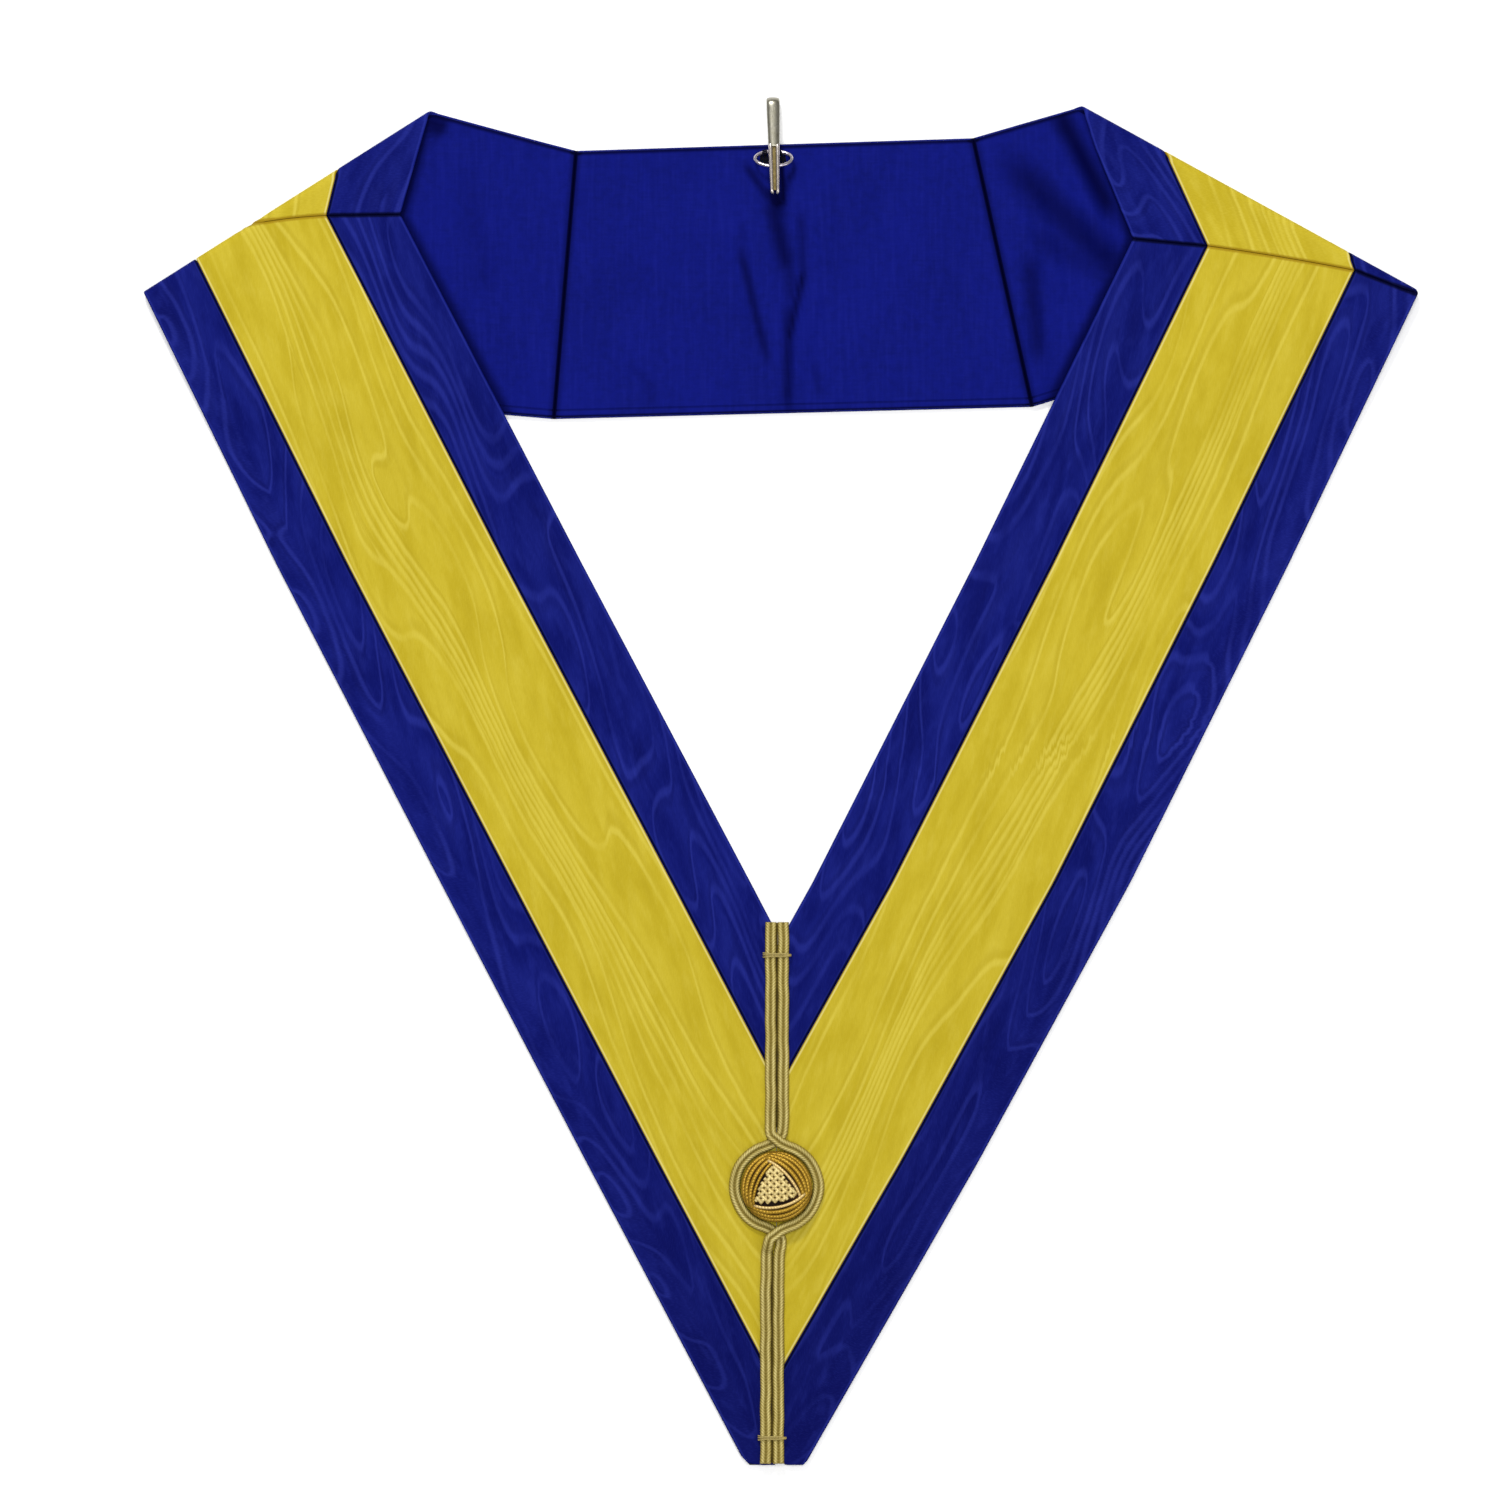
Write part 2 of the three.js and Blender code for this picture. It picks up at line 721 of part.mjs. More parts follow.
function ringGeometry() {
  const around = 16;
  const wire = 8;
  const rise = ringFarHeight - ringLowHeight;
  const points = [];
  const triangles = [];
  for (let step = 0; step < around; step++) {
    const turn = (2 * Math.PI * step) / around;
    const share = (1 - Math.cos(turn)) / 2;
    const centre = new THREE.Vector3(
      middle + ringAside + (Math.sin(turn) * (ringLength - ringWire)) / 2,
      ringLow - share * ringReach,
      ringLowHeight + share * rise,
    );
    const outward = new THREE.Vector3(Math.sin(turn), (Math.cos(turn) * ringReach) / ringLength, 0);
    outward.z = (-Math.cos(turn) * rise) / ringLength;
    outward.normalize();
    const upward = new THREE.Vector3(0, rise, ringReach).normalize();
    for (let facet = 0; facet < wire; facet++) {
      const angle = (2 * Math.PI * facet) / wire;
      const point = centre.clone();
      point.addScaledVector(outward, (Math.cos(angle) * ringWire) / 2);
      point.addScaledVector(upward, (Math.sin(angle) * ringWire) / 2);
      points.push(point.toArray());
    }
    const next = (step + 1) % around;
    for (let facet = 0; facet < wire; facet++) {
      const beside = (facet + 1) % wire;
      const corners = [step * wire + facet, step * wire + beside, next * wire + beside, next * wire + facet];
      triangles.push(corners[0], corners[1], corners[2], corners[0], corners[2], corners[3]);
    }
  }
  return geometryFrom(points, triangles);
}

addPiece("neck_ring", ringGeometry(), 0xc8c4c8, 0.3, 1);

// The hook: a long bar over the ring, bent back under it. Rows run from the two tips round the
// bend to the end of the lower limb; away is the distance from the bend's end.
const barUnder = ringFarHeight + ringWire / 2 + sewingGap - hookSlope * (hookEnd - ringLow + ringReach);
const barMiddle = barUnder + hookThickness / 2;
const limbMiddle = hookUnder + hookLimb / 2;
const bendMiddle = (barMiddle + limbMiddle) / 2;
const hookRows = [
  { away: hookLength, height: barMiddle, width: 0.7, thick: 0.7 },
  { away: 0.985 * hookLength, height: barMiddle, width: 0.79, thick: 1 },
  { away: 0.5 * hookLength, height: barMiddle, width: 0.86, thick: 1 },
  { away: 0.2 * hookLength, height: barMiddle, width: 0.98, thick: 1 },
  { away: 0.06 * hookLength, height: mix(barMiddle, bendMiddle, 0.06), width: 1, thick: 1 },
  { away: 0.04 * hookLength, height: mix(barMiddle, bendMiddle, 0.3), width: 1, thick: 1 },
  { away: 0.028 * hookLength, height: bendMiddle, width: 1, thick: 0.9 },
  { away: 0.045 * hookLength, height: mix(limbMiddle, bendMiddle, 0.3), width: 0.95, thick: 0.8 },
  { away: 0.08 * hookLength, height: limbMiddle, width: 0.9, thick: hookLimb / hookThickness },
  { away: 0.74 * hookLength, height: limbMiddle, width: 0.7, thick: hookLimb / hookThickness },
];

const hookSection = [
  [-0.5, -0.25],
  [-0.32, -0.5],
  [0.32, -0.5],
  [0.5, -0.25],
  [0.5, 0.2],
  [0.3, 0.5],
  [-0.3, 0.5],
  [-0.5, 0.2],
];

function hookMiddle(away) {
  return middle + mix(hookAside.bend, hookAside.tips, away / hookLength);
}

function hookBar() {
  const rows = hookRows.map((row, index) => {
    const before = hookRows[Math.max(0, index - 1)];
    const after = hookRows[Math.min(hookRows.length - 1, index + 1)];
    const forward = new THREE.Vector3(0, before.away - after.away, 0);
    forward.z = after.height - before.height + hookSlope * (after.away - before.away);
    const up = new THREE.Vector3(0, -forward.z, forward.y);
    const at = new THREE.Vector3(
      hookMiddle(row.away),
      hookEnd - row.away,
      row.height + hookSlope * row.away,
    );
    return { ...row, at, up };
  });
  return sweptBar(rows, (row) =>
    hookSection.map(([across, rise]) => [
      across * row.width * hookWidth,
      rise * row.thick * hookThickness,
    ]),
  );
}

// A box along the hook's slope between two distances from the bend
function slotBox(near, far, width, low, high) {
  const box = new THREE.BoxGeometry(width, far - near, high - low);
  const position = box.attributes.position;
  for (let i = 0; i < position.count; i++) {
    const y = hookEnd - (near + far) / 2 + position.getY(i);
    position.setXYZ(
      i,
      hookMiddle(hookEnd - y) + position.getX(i),
      y,
      barMiddle + (low + high) / 2 + position.getZ(i) + hookSlope * (hookEnd - y),
    );
  }
  return box;
}

const wasm = await Module();
wasm.setup();

function solidFrom(geometry) {
  const position = geometry.attributes.position;
  const keys = new Map();
  const vertices = [];
  const index = geometry.index.array;
  const triVerts = Uint32Array.from(index, (i) => {
    const point = [position.getX(i), position.getY(i), position.getZ(i)];
    const key = point.map((value) => Math.round(value * 1e4)).join("/");
    if (!keys.has(key)) {
      keys.set(key, vertices.length / 3);
      vertices.push(...point);
    }
    return keys.get(key);
  });
  const vertProperties = Float32Array.from(vertices);
  return new wasm.Manifold(new wasm.Mesh({ numProp: 3, vertProperties, triVerts }));
}

function geometryOf(solid) {
  const mesh = solid.getMesh();
  const geometry = new THREE.BufferGeometry();
  geometry.setAttribute("position", new THREE.BufferAttribute(mesh.vertProperties, 3));
  geometry.setIndex(new THREE.BufferAttribute(mesh.triVerts, 1));
  return geometry;
}

const half = hookThickness / 2;
const groove = slotBox(0.49 * hookLength, 0.97 * hookLength, 0.36 * hookWidth, -0.1 * half, 3 * half);
const mouth = slotBox(0.96 * hookLength, 1.05 * hookLength, 0.2 * hookWidth, -3 * half, 3 * half);
const hook = solidFrom(hookBar()).subtract(solidFrom(groove)).subtract(solidFrom(mouth));
addPiece("hook", geometryOf(hook), 0xa8a383, 0.35, 1);

// The whole collar is centred on its own box, with the table at height zero
collar.updateMatrixWorld(true);
const box = new THREE.Box3().setFromObject(collar, true);
const centre = box.getCenter(new THREE.Vector3());
for (const mesh of collar.children) {
  mesh.geometry.translate(-centre.x, -centre.y, -box.min.z);
}

export default collar;
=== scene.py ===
"""A masonic collar laid flat: watered ribbon over a plain lining.

Gold braids and a wound button dress the point, and a ring and a hook hang at the neck.
"""

import bmesh
import bpy
import numpy as np
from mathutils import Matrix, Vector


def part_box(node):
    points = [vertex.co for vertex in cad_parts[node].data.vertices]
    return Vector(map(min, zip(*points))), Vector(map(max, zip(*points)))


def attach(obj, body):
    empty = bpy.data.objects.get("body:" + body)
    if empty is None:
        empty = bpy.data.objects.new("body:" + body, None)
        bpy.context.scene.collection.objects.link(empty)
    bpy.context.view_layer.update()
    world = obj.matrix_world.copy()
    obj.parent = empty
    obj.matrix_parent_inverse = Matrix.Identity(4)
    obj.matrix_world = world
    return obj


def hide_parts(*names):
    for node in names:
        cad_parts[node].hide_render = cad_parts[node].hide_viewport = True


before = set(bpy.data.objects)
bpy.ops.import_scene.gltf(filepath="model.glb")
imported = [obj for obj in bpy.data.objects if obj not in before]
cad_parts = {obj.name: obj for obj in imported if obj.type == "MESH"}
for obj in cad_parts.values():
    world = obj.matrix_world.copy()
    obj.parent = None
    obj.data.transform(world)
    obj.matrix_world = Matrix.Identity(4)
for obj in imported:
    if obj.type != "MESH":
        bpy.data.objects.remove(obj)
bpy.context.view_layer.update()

MM = 0.001
TURN = 2 * np.pi

# Sizes in millimetres, the same as the solids', but for the seams and darts, which are drawn closed:
# SEAM_GAP lies between the pieces at a shoulder seam, and DART_LAP is how far each passes a dart
COLLAR_WIDTH = 467.0
LENGTH = 498.0
RIBBON = 101.6
SEWING_GAP = 0.3
SEAM_GAP = 0.06
DART_LAP = 0.01
FOLDED_GAP = 0.4
CLOTH = 1.0
LINING_INSET = 0.6
DROP_START, DROP_LENGTH = 2.0, 48.0
HALF = COLLAR_WIDTH / 2
MIDDLE = -0.0086 * HALF
JOINS = (0.0, 0.23, 0.75, 1.0)

LINING_NEAR = FOLDED_GAP / 2
LINING_MIDDLE = LINING_NEAR + CLOTH / 2
RIBBON_MIDDLE = LINING_NEAR + CLOTH + SEWING_GAP + CLOTH / 2
RIBBON_FAR = RIBBON_MIDDLE + CLOTH / 2
FOLD_HEIGHT = RIBBON_FAR
FOLD_MEAN = 0.6 * RIBBON_FAR
FOLD_ARC = np.pi * FOLD_MEAN
LEG_DROP = FOLD_HEIGHT + LINING_NEAR
TRIM_HEIGHT = FOLD_HEIGHT + RIBBON_FAR - LEG_DROP + SEWING_GAP

POINT_FLAT, POINT_FLAT_HEIGHT = 0.042, 0.0008
POINT_CORNER, POINT_CORNER_HEIGHT = 0.0637, 0.0118

# Each side: the leg's rows (height, outer edge, width), the seam's heights across the ribbon and
# its bow in millimetres, where the yellow band begins and ends, the fold's ends, the dart's foot,
# lean and length, and how the shoulder's lines bow.
SIDES = {
    "left": dict(
        sign=-1,
        rows=((-0.02, 0.0331, 1.12), (0.2233, 0.3066, 1.12), (0.4297, 0.5362, 1.12),
              (0.6655, 0.7956, 1.105), (0.9308, 1.0715, 1.063)),
        seam=(0.8954, 0.902, 0.9212, 0.9219),
        seam_bow=1.8,
        strip_joins=(0.231, 0.748),
        fold=((1.003, 0.8652), (0.555, 0.998)),
        dart=(0.3585, 0.7715, 0.083, 0.972),
        bows=((0, 0, 0, 0), (0.4, -0.01, 0, 0.022), (0.86, -0.03, 0, 0.004), (1, 0, 0, 0)),
    ),
    "right": dict(
        sign=1,
        rows=((-0.02, 0.0104, 1.17), (0.2233, 0.3074, 1.16), (0.4297, 0.5472, 1.148),
              (0.6655, 0.7972, 1.136), (0.9308, 1.0676, 1.1226)),
        seam=(0.863, 0.8804, 0.8988, 0.904),
        seam_bow=0.4,
        strip_joins=(0.24, 0.75),
        fold=((1.003, 0.8655), (0.4827, 0.9993)),
        dart=(0.3931, 0.7804, 0.215, 0.994),
        bows=((0, 0, 0, 0), (0.4, 0, 0.042, 0.024), (0.86, 0, 0, 0.006), (1, 0, 0, 0)),
    ),
}


def mix(a, b, share):
    """a at share 0 and b at share 1."""
    return a + (b - a) * share


def smooth(share):
    """A soft step: 3 t squared less 2 t cubed, with t held between 0 and 1."""
    t = np.clip(share, 0, 1)
    return t * t * (3 - 2 * t)


# The frame's origin is the middle of the solids' box, so the button's box gives the shift from the
# drawing's origin, which is at the point.
button_low, button_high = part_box("button")
BUTTON_UP = 0.206 * LENGTH
SHIFT = np.array([
    (button_low[0] + button_high[0]) / 2 / MM - MIDDLE,
    (button_low[1] + button_high[1]) / 2 / MM - BUTTON_UP,
    0.0,
])

# Drawing of the flat pattern


def leg_point(side, across, height):
    """A leg's point: across times the row's width in from the outer edge, at a share of the length."""
    rows = np.array(side["rows"])
    outer = np.interp(height, rows[:, 0], rows[:, 1]) * HALF
    width = np.interp(height, rows[:, 0], rows[:, 2]) * RIBBON
    return np.stack([side["sign"] * (outer - across * width), height * LENGTH + 0 * across], -1)


def line_through(a, b):
    """A point of a line and its unit normal towards the drawing's origin."""
    a, b = np.array(a, float), np.array(b, float)
    run = (b - a) / np.linalg.norm(b - a)
    normal = np.array([-run[1], run[0]])
    return a, normal * (-np.sign(np.dot(a, normal)) or 1.0)


def reach(line, points):
    """Signed distance of points from a line, positive on the kept side."""
    return (points - line[0]) @ line[1]


def fold_axis(side):
    """The line through the fold's two ends, moved in by the ribbon's outer radius."""
    ends = [(side["sign"] * a * HALF, h * LENGTH) for a, h in side["fold"]]
    start, normal = line_through(*ends)
    return start + normal * RIBBON_FAR, normal


def dart_lying(side, across, aside):
    """A point of the dart as it lies: up the dart by a share of the ribbon, moved aside."""
    foot_across, foot_height, lean, length = side["dart"]
    up = np.asarray(across) * length * RIBBON
    x = side["sign"] * (foot_across * HALF - lean * up + aside)
    return np.stack([x, foot_height * LENGTH + np.sqrt(1 - lean * lean) * up], -1)


def opened_out(side, points):
    """Mirrors lying points about the fold's axis and moves them on by the fold's arc."""
    axis = fold_axis(side)
    back = 2 * reach(axis, points) + FOLD_ARC
    return points - back[..., None] * axis[1]


def folded(side, points, layer):
    """Carries flat points round the fold: straight, then round a half circle, then back under."""
    axis = fold_axis(side)
    inside = reach(axis, points)
    angle = np.clip(-inside / FOLD_MEAN, 0, np.pi)
    past = np.maximum(0, -inside - FOLD_ARC)
    move = np.where(inside >= 0, 0, past - layer * np.sin(angle) - inside)
    flat = points + move[..., None] * axis[1]
    return np.concatenate([flat, (FOLD_HEIGHT + layer * np.cos(angle))[..., None]], -1)


def seam_height(side, across):
    """The seam's height: straight between the joins, bowed up a little over the yellow band."""
    share = np.clip((across - JOINS[1]) / (JOINS[2] - JOINS[1]), 0, 1)
    return np.interp(across, JOINS, side["seam"]) + side["seam_bow"] * 4 * share * (1 - share) / LENGTH


def lower_edge(side):
    """The shoulder's lower edge under the leg, from its outer corner to the dart's foot."""
    corner = leg_point(side, np.array(0.0), np.array(side["seam"][0]))
    start = folded(side, corner[None], np.zeros(1))[0, :2]
    return line_through(start, dart_lying(side, 0.0, 0.0))


def placed(side, points, layer):
    """The fold, and then the leg's soft step down to the table below the back's lower edge."""
    lying = folded(side, points, layer)
    on_top = reach(fold_axis(side), points) >= 0
    drop = LEG_DROP * smooth((reach(lower_edge(side), points) - DROP_START) / DROP_LENGTH)
    lying[..., 2] -= np.where(on_top, drop, 0)
    return lying


# Rails of each band

LEG_SAMPLES, RAIL_SAMPLES = 16000, 901


def leg_rail(side, across, t):
    """A leg's rail from its lower end (the middle, or the blunt point) at t 0 to the seam at t 1."""
    heights = np.linspace(0, 0.9, LEG_SAMPLES)[:, None]
    shares = np.ravel(across)[None, :]
    away = side["sign"] * (leg_point(side, shares, heights)[..., 0] - MIDDLE)
    slope = (POINT_CORNER - POINT_FLAT) * HALF / (POINT_CORNER_HEIGHT - POINT_FLAT_HEIGHT)
    chamfer = POINT_FLAT * HALF + (heights - POINT_FLAT_HEIGHT) * slope
    inside = (away > SEAM_GAP / 2) & (heights > POINT_FLAT_HEIGHT) & (away < chamfer)
    low = heights[np.argmax(inside, axis=0), 0]
    top = seam_height(side, shares[0]) - SEAM_GAP / 2 / LENGTH
    return leg_point(side, across + 0 * t, mix(low, top, t))


def shoulder_rail(side, across, t):
    """A shoulder's rail in its flat pattern, from the seam at t 0 to the opened-out dart at t 1."""
    start = leg_point(side, across, seam_height(side, across) + SEAM_GAP / 2 / LENGTH)
    end = opened_out(side, dart_lying(side, across, -DART_LAP))
    along, outer, join, inner = np.array(side["bows"]).T
    rows = [np.interp(t, along, column) for column in (outer, join, inner)]
    low = mix(rows[0], rows[1], np.clip(across / JOINS[2], 0, 1))
    high = mix(rows[1], rows[2], (across - JOINS[2]) / (1 - JOINS[2]))
    push = np.where(across < JOINS[2], low, high)
    run = end - start
    length = np.linalg.norm(run, axis=-1)
    away = -side["sign"] * push * RIBBON / length
    turn = np.stack([run[..., 1], -run[..., 0]], -1)
    return start + run * t[..., None] + turn * away[..., None]


def back_rail(_side, across, t):
    """A rail of the back as it lies, from the left dart at t 0 to the right dart at t 1."""
    left = dart_lying(SIDES["left"], across, DART_LAP)
    right = dart_lying(SIDES["right"], across, DART_LAP)
    return left + (right - left) * t[..., None]


# How far from an edge the rows and columns lie that round the cloth's rim
RIM_STEPS = np.array([0.0, 0.06, 0.18, 0.36, 0.6, 1.0])
RIM = RIM_STEPS[-1]


def spaced(length, step):
    """Positions from 0 to length: close together at both ends, and about step apart between."""
    count = max(2, int(np.ceil((length - 2 * RIM) / step)))
    body = np.linspace(RIM, length - RIM, count + 1)[1:-1]
    return np.concatenate([RIM_STEPS, body, length - RIM_STEPS[::-1]])


def rows_along(rail, side, shares, step, fold_rows):
    """Lengths along each rail, in rows: the rim, the way to the fold, the fold, the way on, the rim."""
    t = np.linspace(0, 1, RAIL_SAMPLES)[:, None]
    points = rail(side, shares[None, :], t)
    runs = np.linalg.norm(np.diff(points, axis=0), axis=-1)
    lengths = np.concatenate([np.zeros((1, len(shares))), np.cumsum(runs, axis=0)])
    total = lengths[-1]
    if fold_rows:
        inside = reach(fold_axis(side), points)[::-1]
        turned = lengths[::-1]
        ends = [
            np.array([np.interp(at, inside[:, j], turned[:, j]) for j in range(len(shares))])
            for at in (0.0, -FOLD_ARC)
        ]
        first, last = (np.clip(end, RIM, total - RIM) for end in ends)
    else:
        first = last = total - RIM

    def between(a, b, count):
        """Rows from just past a up to b."""
        return mix(a[None, :], b[None, :], np.linspace(0, 1, count + 1)[1:, None])

    rim = RIM_STEPS[:, None] + 0 * total[None, :]
    parts = [rim, between(rim[-1], first, max(2, int(np.ceil(np.max(first) / step))))]
    if fold_rows:
        parts.append(between(first, last, fold_rows))
        rest = max(1, int(np.ceil(np.max(total - RIM - last) / step)))
        parts.append(between(last, total - RIM, rest))
    parts.append(total[None, :] - RIM_STEPS[:-1][::-1, None])
    at = np.concatenate(parts)
    t_at = np.stack([np.interp(at[:, j], lengths[:, j], t[:, 0]) for j in range(len(shares))], 1)
    return at, total, rail(side, shares[None, :], t_at)


# Meshes

# Points that lie nearer to each other than this, in metres, become one where a mesh is merged
DOUBLES = 2e-7


def mesh_piece(name, points, faces, maps, material, slot, node=None, merged=False):
    """One object from points in drawing millimetres and faces, with its maps given per point. merged
    joins the points that a cloth's two faces share along its edge."""
    mesh = bpy.data.meshes.new(name)
    places = (np.asarray(points).reshape(-1, 3) + SHIFT) * MM
    mesh.from_pydata(places.tolist(), [], faces)
    corner_points = np.empty(len(mesh.loops), np.int32)
    mesh.loops.foreach_get("vertex_index", corner_points)
    for map_name, values in maps.items():
        pairs = np.asarray(values, np.float32).reshape(-1, 2)
        mesh.uv_layers.new(name=map_name).data.foreach_set("uv", pairs[corner_points].ravel())
    work = bmesh.new()
    work.from_mesh(mesh)
    if merged:
        bmesh.ops.remove_doubles(work, verts=work.verts, dist=DOUBLES)
    bmesh.ops.recalc_face_normals(work, faces=work.faces)
    work.to_mesh(mesh)
    work.free()
    mesh.polygons.foreach_set("use_smooth", np.full(len(mesh.polygons), True))
    mesh.materials.append(material)
    piece = bpy.data.objects.new(name, mesh)
    bpy.context.scene.collection.objects.link(piece)
    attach(piece, "root")
    if node:
        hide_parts(node)
    return piece


def grid_quads(rows, columns, start=0, ring=False):
    """Faces of a grid of rows by columns points; ring joins the last column to the first."""
    wide = columns if ring else columns - 1
    i, j = np.meshgrid(np.arange(rows - 1), np.arange(wide), indexing="ij")
    a = start + i * columns + j
    b = start + i * columns + (j + 1) % columns
    return np.stack([a, b, b + columns, a + columns], -1).reshape(-1, 4)


# The rim is rounded over RIM_ROUND at the sides, and a little further at the ends. An edge that is
# not sewn to a neighbour counts as UNSEWN away from its join. A seed of 1 moves a pattern on by APART.
RIM_ROUND, END_SHARE = 0.5, 0.8
UNSEWN, APART = 90.0, 1000.0


def cloth(name, rail, side, span, layer, material, slot="lining", *, step=4.5, fold_rows=0,
          place=placed, seed=0.0, soft=None, shade=None, sewn_start=True):
    """A closed sheet between two shares of the ribbon: a middle surface, thick by CLOTH, whose two
    faces meet in a round rim. seed moves its pattern on, soft lifts both faces, and shade gives how
    deep the painted shade lies at each point, for its own map."""
    columns_at = spaced((span[1] - span[0]) * RIBBON, step)
    width = columns_at[-1]
    at, total, points = rows_along(rail, side, span[0] + columns_at / RIBBON, step, fold_rows)
    rows, columns = at.shape
    across = np.tile(columns_at, (rows, 1))
    share = span[0] + across / RIBBON
    from_side = np.minimum(across, width - across)
    from_end = np.minimum(at, total - at)
    near = np.minimum(np.minimum(from_side, from_end * END_SHARE) / RIM_ROUND, 1)
    half = CLOTH / 2 * np.sqrt(np.maximum(0, 1 - (1 - near) ** 2))
    faces = [place(side, points, layer + half), place(side, points, layer - half)]
    if soft:
        for face in faces:
            face[..., 2] += soft(side, points, face[..., :2], share)
    quads = np.concatenate([
        grid_quads(rows, columns),
        grid_quads(rows, columns, rows * columns)[:, ::-1],
    ])
    from_low = across + (0 if span[0] > 0.1 else UNSEWN)
    from_high = width - across + (0 if span[1] < 0.9 else UNSEWN)
    pairs = {
        "weave": (at + seed * APART, RIBBON * share),
        "rim": (from_side, from_end),
        "join": (np.minimum(from_low, from_high), from_end if sewn_start else total - at),
    }
    if shade:
        pairs["painted_shade"] = (shade(side, points, faces[0][..., :2]), RIBBON * (1 - share))
    maps = {key: np.stack([np.stack(pair, -1)] * 2) for key, pair in pairs.items()}
    piece = mesh_piece(name + "_cloth", np.stack(faces), quads.tolist(), maps, material, slot,
                       node=name, merged=True)
    long_way = float(np.max(total)) * MM
    wide = float(width) * MM
    flat_area = float(np.mean(total)) * MM * wide


def place_back(_side, points, layer):
    """The back lies turned over, so its layers run downwards from the fold's height."""
    return np.concatenate([points, (FOLD_HEIGHT - layer)[..., None]], -1)


# Material maths


def math(operation, reflected=False):
    """A method of Field that adds one Math node; reflected puts the field's own number last."""

    def method(self, *others):
        """The number that the node gives."""
        values = (*others, self) if reflected else (self, *others)
        return self.maker.number("ShaderNodeMath", {"operation": operation}, values)

    return method


class Field:
    """A number that varies over a surface; arithmetic on it adds Math nodes to its material."""

    __add__, __radd__ = math("ADD"), math("ADD", True)
    __sub__, __rsub__ = math("SUBTRACT"), math("SUBTRACT", True)
    __mul__, __rmul__ = math("MULTIPLY"), math("MULTIPLY", True)
    __truediv__, __pow__ = math("DIVIDE"), math("POWER")
    sine, size, rounded = math("SINE"), math("ABSOLUTE"), math("ROUND")
    lower, higher = math("MINIMUM"), math("MAXIMUM")

    def __init__(self, maker, socket):
        self.maker, self.socket = maker, socket

    def wave(self, pitch):
        """Rises to 1 and falls to 0 once in each pitch."""
        return (self * (TURN / pitch)).sine() * 0.5 + 0.5

    def held(self):
        """Held between 0 and 1."""
        return self.lower(1.0).higher(0.0)

    def step(self, low, high):
        """0 below low and 1 above high, softly between."""
        return self.maker.number(
            "ShaderNodeMapRange", {"interpolation_type": "SMOOTHSTEP"}, (self, low, high, 0.0, 1.0))

    def fall(self, low, high):
        """1 below low and 0 above high, softly between."""
        return 1.0 - self.step(low, high)


class Finish:
    """One material: a Principled shader and the nodes that feed it."""

    def __init__(self, name, roughness=0.6, metallic=0.0, specular=0.3, sheen=0.0, sheen_tint=(1, 1, 1)):
        self.material = bpy.data.materials.new(name)
        self.material.use_nodes = True
        self.nodes = self.material.node_tree.nodes
        self.links = self.material.node_tree.links
        self.inputs = self.nodes["Principled BSDF"].inputs
        self.inputs["Roughness"].default_value = roughness
        self.inputs["Metallic"].default_value = metallic
        self.inputs["Specular IOR Level"].default_value = specular
        self.inputs["Sheen Weight"].default_value = sheen
        self.inputs["Sheen Roughness"].default_value = 0.4
        self.inputs["Sheen Tint"].default_value = (*sheen_tint, 1)

    def node(self, kind, settings, values):
        """Adds a node: settings first, then values or links for its sockets by name or place."""
        made = self.nodes.new(kind)
        for key, value in settings.items():
            setattr(made, key, value)
        items = values.items() if isinstance(values, dict) else enumerate(values)
        for key, value in items:
            socket = made.inputs[key]
            if isinstance(value, Field):
                self.links.new(value.socket, socket)
            elif isinstance(value, bpy.types.NodeSocket):
                self.links.new(value, socket)
            elif isinstance(value, tuple) and socket.type == "RGBA":
                socket.default_value = (*value, 1)
            else:
                socket.default_value = value
        return made

    def number(self, kind, settings, values):
        """Adds a node and gives its first output as a number."""
        return Field(self, self.node(kind, settings, values).outputs[0])

    def uv(self, map_name):
        """The two coordinates of one of the piece's maps."""
        made = self.node("ShaderNodeUVMap", {"uv_map": map_name}, {})
        parts = self.node("ShaderNodeSeparateXYZ", {}, {0: made.outputs[0]})
        return Field(self, parts.outputs[0]), Field(self, parts.outputs[1])

    def place(self):
        """The Object coordinates, in millimetres."""
        made = self.node("ShaderNodeTexCoord", {}, {})
        parts = self.node("ShaderNodeSeparateXYZ", {}, {0: made.outputs["Object"]})
        return [Field(self, parts.outputs[i]) * (1 / MM) for i in range(3)]

    def noise(self, x, y, z=0.0, detail=2.0, roughness=0.5):
        """Noise of three numbers, from 0 to 1."""
        at = self.node("ShaderNodeCombineXYZ", {}, {0: x, 1: y, 2: z})
        return self.number("ShaderNodeTexNoise", {}, {
            "Vector": at.outputs[0], "Scale": 1.0, "Detail": detail, "Roughness": roughness})

    def colour(self, body, *coats):
        """The surface's colour: a body under coats, each of which covers it by its own share."""
        for coat, share in coats:
            made = self.node("ShaderNodeMix", {"data_type": "RGBA"}, {
                "Factor": share.held(), 6: body, 7: coat})
            body = made.outputs[2]
        self.links.new(body, self.inputs["Base Color"])

    def rough(self, value):
        """The surface's roughness, held between 0 and 1."""
        self.links.new(value.held().socket, self.inputs["Roughness"])

    def bump(self, height, strength, distance):
        """Low relief: height times distance, in metres, weighed by strength."""
        made = self.node("ShaderNodeBump", {}, {
            "Height": height, "Strength": strength, "Distance": distance})
        self.links.new(made.outputs[0], self.inputs["Normal"])


def darker(colour, share):
    """The colour times share."""
    return tuple(part * share for part in colour)


# The bundle of water lines: how far in from the outer edge it runs, how far it strays, how wide it
# is, and how many lines it adds to each side
BUNDLE_AT, BUNDLE_STRAY, BUNDLE_WIDTH, BUNDLE_LINES = 45.0, 14.0, 5.5, 1.35
